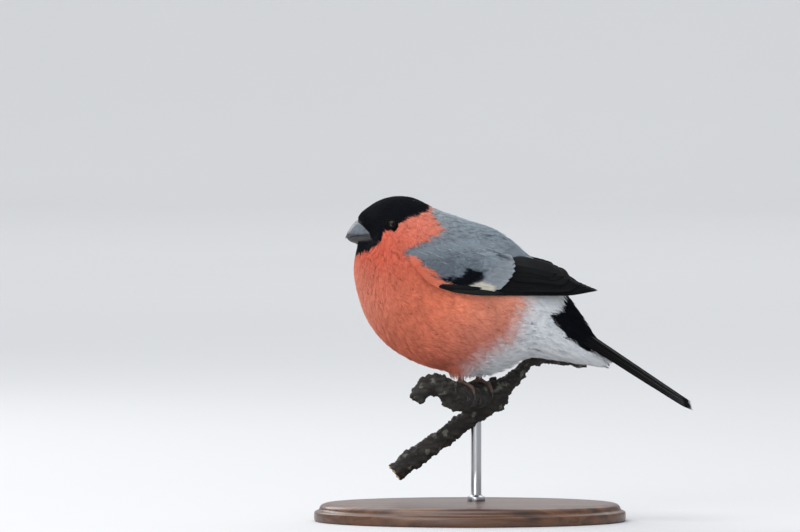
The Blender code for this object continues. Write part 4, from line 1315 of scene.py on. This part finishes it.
def build_tail():
    """The tail's vanes, from its middle pair outwards."""
    draw = np.random.default_rng(9)
    root, tip = np.array(TAIL_ROOT), np.array(TAIL_TIP)
    ahead = unit(tip - root)
    up = np.array((-ahead[1], ahead[0]))
    made = []
    for pair in range(TAIL_PAIRS):
        for side in SIDES.values():
            length = np.linalg.norm(tip - root) + 0.45 * pair
            order = pair + (0.4 if side > 0 else 0.0)

            def lay(along, width, height):
                shift = 0.8 + pair * (TAIL_ROOT_STEP + (TAIL_TIP_STEP - TAIL_ROOT_STEP) * along)
                y = side * (shift + width)
                layer = TAIL_ROOT_LAYER + (TAIL_TIP_LAYER - TAIL_ROOT_LAYER) * along
                lift = height - layer * order - TAIL_DROOP * np.abs(y)
                x = root[0] + ahead[0] * length * along + up[0] * lift
                z = root[1] + ahead[1] * length * along + up[1] * lift
                return np.stack((x, y, z), axis=-1)

            made.append(vane(lay, TAIL_HALF_WIDTH, 1.1, 0.25, 0.25, draw, flight_paint))
    vanes_piece("tail_vanes", made, VANE, "plumage_flight", ("tail",))


# Head


def ball(centre, axis, radius, rings, sides):
    """A sphere with its poles on the axis, and how far each point turns from the axis."""
    first = unit(np.cross(axis, (0.31, 0.82, 0.47)))
    second = np.cross(axis, first)
    polar, turn = np.linspace(0.02, np.pi - 0.02, rings), full_turn(sides)
    around = np.cos(turn)[:, None] * first + np.sin(turn)[:, None] * second
    points = centre + radius * (
        np.cos(polar)[:, None, None] * axis + np.sin(polar)[:, None, None] * around[None]
    )
    return points, polar[:, None] * np.ones((1, sides))


def build_eyes():
    """Two glossy balls, and round each a thin dark lid with a beaded edge."""
    look = material("eye", 0.05, uneven=0.05, grain=300.0, shine=0.16)
    lids = material("eyelid", 0.8, uneven=0.3, grain=1500.0, bump=0.1, shine=0.04)
    for name, (centre, axis) in EYES.items():
        points, polar = ball(centre, axis, EYE_RADIUS, 24, 40)
        tint = mix(np.broadcast_to(tone("iris"), points.shape), tone("pupil"), 1 - smooth(*PUPIL_EDGE, polar))
        joined, faces = closed_net(points)
        piece(
            f"eyeball_{name}", joined, inside_out(faces), look, tint=with_ends(tint),
            replaces=(f"eye_{name}",), slot="eye_glass",
        )
        first = unit(np.cross(axis, (0.0, 0.0, 1.0)))
        second = np.cross(axis, first)
        turn = full_turn(LID_SIDES)
        out = np.cos(turn)[:, None] * first + 0.93 * np.sin(turn)[:, None] * second
        away, rise = np.array(LID_PROFILE).T
        bead = 1 + 0.012 * np.cos(turn * 16)[:, None, None] * (away < 2.1)[None, :, None]
        ring = centre + out[:, None] * away[None, :, None] + axis * rise[None, :, None] * bead
        faces = net(LID_SIDES + 1, len(away)) % (LID_SIDES * len(away))
        tint = np.broadcast_to(tone("lid"), ring.shape)
        piece(f"eyelid_{name}", ring, faces, lids, tint=tint, slot="foot_skin")


def bill_rings(rows, upper):
    """Half of the bill, arched on one side and nearly flat where the halves meet."""
    angle = np.pi * (np.arange(33) / 32 - 0.5)
    arch = np.abs(np.cos(angle)) ** 0.85
    ridge = 1 + 0.05 * np.exp(-((angle / 0.16) ** 2)) * (1 if upper else 0.5)
    under = np.linspace(1, -1, 12)[1:-1]
    rings = []
    for x, top, bottom, half_width in spline(rows, np.linspace(0, len(rows) - 1, 44)):
        height = (top - bottom) * arch * ridge
        flat_z = np.full(10, bottom + 0.25 if upper else top - 0.15)
        y = np.concatenate((half_width * np.sin(angle), half_width * under * 0.96))
        z = np.concatenate((bottom + height if upper else top - height, flat_z))
        rings.append(np.stack((np.full_like(y, x), y, z), axis=-1))
    return np.array(rings)


def build_bill():
    """Both halves of the bill, with the nostrils as pits in the upper one."""
    look = material("horn", 0.42, uneven=0.12, grain=700.0, bump=0.04, shine=0.3)
    for name, rows, upper in (("upper", BILL_UPPER, True), ("lower", BILL_LOWER, False)):
        rings = bill_rings(rows, upper)
        if upper:
            for side in SIDES.values():
                away = np.linalg.norm(rings - np.array(NOSTRIL_AT) * (1, side, 1), axis=-1)
                rings[..., 2] -= 0.5 * (1 - smooth(0.2, 0.75, away))
        points, faces = closed_net(rings)
        dark, light = tone("horn"), tone("horn_pale_highlight" if upper else "horn_low")
        # The upper half's pale blue-grey is partly the horn's own tone and partly a painted highlight; both halves
        # grow darker towards the tip, at the base and along the line where they meet.
        pale = 0.95 - 0.75 * smooth(-46.0, -47.9, points[:, 0]) - 0.25 * smooth(-42.0, -40.0, points[:, 0])
        pale -= 0.5 * np.exp(-(((points[:, 2] - 52.8) / 0.45) ** 2))
        streaks = waves(points * np.array((0.25, 1.0, 1.0)), 1.1, 74) + waves(points, 2.6, 75)
        tint = mix(dark, light, np.clip(pale + 0.13 * streaks, 0, 1))
        piece(f"horn_{name}", points, faces, look, tint=tint, replaces=(f"bill_{name}",), slot="bill_horn")


# Feet


def toe_rows(spot, forward, spread, reach, thickness):
    """Centre line, radius and share in the claw of a toe that is wrapped round the perch."""
    along = unit(np.array((SPUR[2][0] - SPUR[4][0], SPUR[2][1] - SPUR[4][1], 0.0)))
    ahead = np.cross((0.0, 0.0, 1.0), along) * forward
    axis_z, perch_radius = SPUR[3][2], SPUR[3][3]
    centre = np.array((*spot, axis_z))
    share = np.linspace(0, 1, TOE_STEPS)
    angle = np.radians(reach + CLAW_ANGLE) * share
    in_claw = np.maximum(0.0, (share * (reach + CLAW_ANGLE) - reach) / CLAW_ANGLE)
    knuckle = 1 + 0.12 * np.cos(angle * 7.5) * (1 - in_claw)
    radius = thickness * knuckle + (TOE_END_RADIUS - thickness) * np.minimum(share * 1.2, 1.0)
    claw_start = TOE_END_RADIUS * 0.8
    radius = np.where(in_claw > 0, claw_start + (0.1 - claw_start) * in_claw, radius)
    out = perch_radius + 0.3 + radius + 0.1 + 0.5 * np.sin(np.pi * in_claw)
    shift = along * (spread * np.minimum(angle / 1.4, 1.0))[:, None]
    turned = ahead * np.sin(angle)[:, None] + np.array((0.0, 0.0, 1.0)) * np.cos(angle)[:, None]
    middle = centre + shift + out[:, None] * turned
    return middle, radius, in_claw, turned


def toe_rings(middle, radius, in_claw, turned, turn):
    """Rings of a toe's skin, with its plates, and of its claw."""
    ahead = unit(np.gradient(middle, axis=0))
    wide = unit(np.cross(ahead, turned))
    upward = np.cross(wide, ahead)
    out = np.cos(turn)[None, :, None] * upward[:, None] + np.sin(turn)[None, :, None] * wide[:, None]
    plates = 1 + 0.10 * ((np.arange(len(middle)) * 0.34) % 1.0)[:, None] * np.clip(np.cos(turn), 0, 1)[None]
    flat = np.where(np.cos(turn) < 0, 0.92, 1.0)[None]
    skin = middle[:, None] + out * (radius[:, None] * plates * flat)[..., None]
    claw = middle[:, None] + out * (radius[:, None] * 0.9)[..., None]
    cut = int(np.argmax(in_claw > 0))
    return skin[: cut + 2], claw[cut:]


def build_feet():
    """Legs, toes and claws."""
    look = material("foot_skin", 0.6, uneven=0.3, grain=1800.0, bump=0.12, shine=0.4)
    claws = material("claw", 0.3, uneven=0.2, grain=900.0, bump=0.03, coat=0.3)
    turn = full_turn(16)
    for name, spot in FOOT_SPOTS.items():
        toes = [toe_rows(spot, 1, 0.0, FRONT_TOE_ANGLE + 6, TOE_RADIUS)]
        toes += [toe_rows(spot, 1, spread, FRONT_TOE_ANGLE, TOE_RADIUS * 0.92) for spread in TOE_SPREADS]
        toes.append(toe_rows(spot, -1, 0.4, BACK_TOE_ANGLE, TOE_RADIUS * 1.05))
        skin, horn = zip(*(toe_rings(*toe, turn) for toe in toes))
        pad_z = SPUR[3][2] + SPUR[3][3] + 0.3 + TOE_RADIUS
        z = np.linspace(pad_z, LEG_TOP, 24)
        pad, plates = np.exp(-(((z - pad_z) / 0.9) ** 2)), (np.arange(24) * 0.4) % 1.0
        radius = LEG_RADIUS * (1 + 0.25 * pad) * (1 + 0.05 * plates)
        leg = np.stack([level_ring(spot, r, r, h, turn) for h, r in zip(z, radius)])
        for label, parts, finish, colour, nodes in (
            ("toes", (*skin, leg), look, tone("foot"), (f"foot_{name}", f"leg_{name}")),
            ("claws", horn, claws, tone("claw"), ()),
        ):
            points, faces = join([closed_net(rings) for rings in parts])
            tint = np.broadcast_to(colour, points.shape) * (1 + 0.15 * waves(points, 1.5, 90))[:, None]
            piece(f"{label}_{name}", points, faces, finish, tint=tint, replaces=nodes, slot="foot_skin")


# Perch and stand


def rough_branch():
    """The branch's tubes and swellings joined by a fine remesh: points, their normals and faces."""
    draw = np.random.default_rng(21)
    parts = [
        closed_net(tube_rings(rows, rough, seed))
        for rows, rough, seed in (
            (LIMB, 0.04, 41), (SPUR[:4], 0.05, 42), (SPUR[3:6], 0.02, 43), (SPUR[4:], 0.14, 44), (STUB, 0.1, 45),
        )
    ]
    while len(parts) < 5 + KNOBS:
        rows = (LIMB[3:], SPUR, SPUR, STUB[:4])[draw.integers(4)]
        x, y, z, radius = spline(rows, draw.uniform(0.4, len(rows) - 1.2))
        angle = draw.uniform(0, 2 * np.pi)
        centre = np.array((x + 0.6 * radius * np.cos(angle), y + 0.6 * radius * np.sin(angle), z - 0.4 * radius))
        if min(math.dist(centre[:2], spot) for spot in FOOT_SPOTS.values()) > KNOB_FROM_FEET:
            points, _ = ball(centre, np.array((0.0, 0.0, 1.0)), draw.uniform(0.3, 0.5) * radius + 0.5, 10, 16)
            joined, faces = closed_net(points)
            parts.append((joined, inside_out(faces)))
    points, faces = join(parts)
    mesh = bpy.data.meshes.new("bark_rough")
    mesh.from_pydata(points.tolist(), [], faces[0].tolist() + faces[1].tolist())
    rough = bpy.data.objects.new("bark_rough", mesh)
    bpy.context.scene.collection.objects.link(rough)
    remesh = rough.modifiers.new("remesh", "REMESH")
    remesh.mode = "VOXEL"
    remesh.voxel_size = BARK_STEP
    bpy.context.view_layer.update()
    made = bpy.data.meshes.new_from_object(rough.evaluated_get(bpy.context.evaluated_depsgraph_get()))
    bpy.data.objects.remove(rough)
    points, normals = (np.empty(len(made.vertices) * 3) for _ in range(2))
    faces = np.empty(len(made.polygons) * 4, int)
    made.vertices.foreach_get("co", points)
    made.vertices.foreach_get("normal", normals)
    made.polygons.foreach_get("vertices", faces)
    bpy.data.meshes.remove(made)
    return points.reshape(-1, 3), normals.reshape(-1, 3), faces.reshape(-1, 4)


def sawn_ends(points):
    """How far points belong to the two ends where the branch was cut, from 0 to 1."""
    cut = np.zeros(len(points))
    for end, before in ((LIMB[0], LIMB[1]), (STUB[-1], STUB[-2])):
        axis = unit(np.array(end[:3]) - np.array(before[:3]))
        offset = points - np.array(end[:3])
        along = offset @ axis
        aside = np.linalg.norm(offset - along[:, None] * axis, axis=-1)
        cut = np.maximum(cut, smooth(-0.35, -0.1, along) * (1 - smooth(end[3] * 0.8, end[3] * 0.95, aside)))
    return cut


def build_perch():
    """The branch, roughened as bark but for its sawn ends and the places of the feet."""
    co, normals, faces = rough_branch()
    cut = sawn_ends(co)
    near_feet = np.ones(len(co))
    for spot in FOOT_SPOTS.values():
        away = np.linalg.norm(co - np.array((*spot, SPUR[3][2])), axis=-1)
        near_feet = np.minimum(near_feet, smooth(5.0, 9.0, away))
    furrow = np.abs(waves(co * np.array((0.6, 0.6, 1.0)), 3.2, 31)) * 0.5 - 0.3
    scales = np.abs(waves(co, 1.5, 32)) * 0.3 - 0.15
    knotty = waves(co, 6.0, 33) * 0.35
    height = (furrow + scales + knotty) * (1 - cut) * (0.25 + 0.75 * near_feet) - 0.15 + 0.6 * (1 - near_feet)
    co = co + normals * height[:, None]
    bark = tone("bark") * (1 + 0.55 * np.clip(furrow * 2, -0.8, 1) + 0.2 * waves(co, 9.0, 34))[:, None]
    lichen = smooth(0.9, 1.5, waves(co, 5.0, 35) + 0.3 * waves(co, 1.0, 36) + 0.25 * normals[:, 2])
    bark = mix(bark, tone("lichen"), 0.6 * lichen)
    rings = 1 + 0.12 * np.sin(np.linalg.norm(co - np.array(LIMB[0][:3]), axis=-1) * 9)
    tint = mix(bark, tone("sawn_wood") * rings[:, None], cut)
    look = material("bark", 0.88, uneven=0.35, grain=1400.0, bump=0.25)
    piece("branch", co, faces, look, tint=tint, replaces=("perch",), slot="bark")


def wood():
    """Polished dark wood, its grain along the plinth."""
    look = Look("base_wood", Roughness=0.38, Coat_Weight=0.25, Coat_Roughness=0.2)
    noise = look.noise(1.6, look.place((9.0, 120.0, 120.0)), Detail=8.0, Roughness=0.62, Distortion=0.8)
    ramp = look.nodes.new("ShaderNodeValToRGB")
    for n, (where, colour) in enumerate(WOOD_TONES):
        stop = ramp.color_ramp.elements[n] if n < 2 else ramp.color_ramp.elements.new(where)
        stop.position = where
        stop.color = (*linear(colour), 1.0)
    look.fill(ramp, {"Fac": noise})
    look.fill(look.shader, {"Base Color": ramp.outputs["Color"]})
    look.bump(noise, 0.25, 0.08)
    return look.made


def build_stand():
    """A turned wooden plinth, and a steel rod with a collar."""
    turn = full_turn(160)
    rings = [
        level_ring((0.0, 0.0), BASE_LENGTH / 2 - inset, BASE_WIDTH / 2 - inset, height - PERCH_HEIGHT, turn)
        for inset, height in spline(PLINTH_PROFILE, np.linspace(0, len(PLINTH_PROFILE) - 1, 46))
    ]
    rings += [rings[-1] * np.array((share, share, 1.0)) for share in (0.8, 0.5, 0.2)]
    points, faces = closed_net(rings)
    piece("plinth", points, faces, wood(), replaces=("stand_base",), slot="base_wood")

    steel = material("rod_steel", 0.3, colour=TONES["steel"], uneven=0.06, grain=4000.0, metallic=1.0)
    bottom, top = (corner[2] / MM - PERCH_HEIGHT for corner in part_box("stand_rod"))
    turn = full_turn(40)
    rings = [level_ring(ROD_AT, radius, radius, bottom + height, turn) for radius, height in ROD_COLLAR]
    rings.append(level_ring(ROD_AT, ROD_RADIUS, ROD_RADIUS, top + 1.0, turn))
    points, faces = closed_net(rings)
    rod = piece("rod", points, faces, steel, replaces=("stand_rod",), slot="rod_steel")
    rod.data.set_sharp_from_angle(angle=math.radians(40))


# Stage


def build_backdrop():
    """A floor that bends up into a wall."""
    curve = [(BACKDROP_FRONT, 0.0), (BACKDROP_DEPTH, 0.0)]
    for n in range(1, 25):
        angle = math.pi / 2 * n / 24
        y, z = BACKDROP_DEPTH + BACKDROP_BEND * math.sin(angle), BACKDROP_BEND - BACKDROP_BEND * math.cos(angle)
        curve.append((y, z))
    curve.append((BACKDROP_DEPTH + BACKDROP_BEND, BACKDROP_HEIGHT))
    points = [(x, y, z) for y, z in curve for x in (-BACKDROP_SIDE, BACKDROP_SIDE)]
    faces = [(2 * n, 2 * n + 1, 2 * n + 3, 2 * n + 2) for n in range(len(curve) - 1)]
    mesh = bpy.data.meshes.new("backdrop")
    mesh.from_pydata(points, [], faces)
    mesh.shade_smooth()
    mesh.materials.append(material("backdrop", 0.9, colour=TONES["backdrop"], uneven=0.01, grain=3.0))
    backdrop = bpy.data.objects.new("backdrop", mesh)
    bpy.context.scene.collection.objects.link(backdrop)


def build_lights():
    world = bpy.data.worlds.new("studio")
    bpy.context.scene.world = world
    world.use_nodes = True
    world.node_tree.nodes["Background"].inputs["Color"].default_value = WORLD_COLOUR
    world.node_tree.nodes["Background"].inputs["Strength"].default_value = WORLD_STRENGTH
    for name, (place, size, power, aim) in LIGHTS.items():
        lamp = bpy.data.lights.new(name, "AREA")
        lamp.size = size
        lamp.energy = power
        holder = bpy.data.objects.new(name, lamp)
        holder.location = place
        holder.rotation_euler = (Vector(aim) - Vector(place)).to_track_quat("-Z", "Y").to_euler()
        bpy.context.scene.collection.objects.link(holder)


def build_camera():
    """A long lens, level with the photograph's, whose frame is as wide as the photograph's at the bird."""
    middle = from_photo((PHOTO_SIZE[0] / 2, PHOTO_SIZE[1] / 2))
    target = Vector((middle[0] * MM, 0.0, (middle[1] + PERCH_HEIGHT) * MM))
    data = bpy.data.cameras.new("camera")
    data.lens = CAMERA_LENS
    data.sensor_width = CAMERA_SENSOR
    data.clip_end = CAMERA_FAR
    distance = PHOTO_SIZE[0] * PIXEL * MM * CAMERA_LENS / CAMERA_SENSOR
    camera = bpy.data.objects.new("camera", data)
    away = Vector((0.0, -math.cos(CAMERA_ELEVATION), math.sin(CAMERA_ELEVATION)))
    camera.location = target + away * distance
    camera.rotation_euler = (-away).to_track_quat("-Z", "Y").to_euler()
    bpy.context.scene.collection.objects.link(camera)
    bpy.context.scene.camera = camera
    bpy.context.scene.view_settings.view_transform = "Standard"


build_camera()
build_backdrop()
build_lights()
build_skin()
grow_body_coat()
grow_thighs()
grow_strays()
grow_shoulder()
grow_scapulars()
for wing in SIDES.items():
    wing_vanes(*wing)
    wing_skin(*wing)
    wing_coat(*wing)
build_tail()
build_eyes()
build_bill()
build_feet()
build_perch()
build_stand()
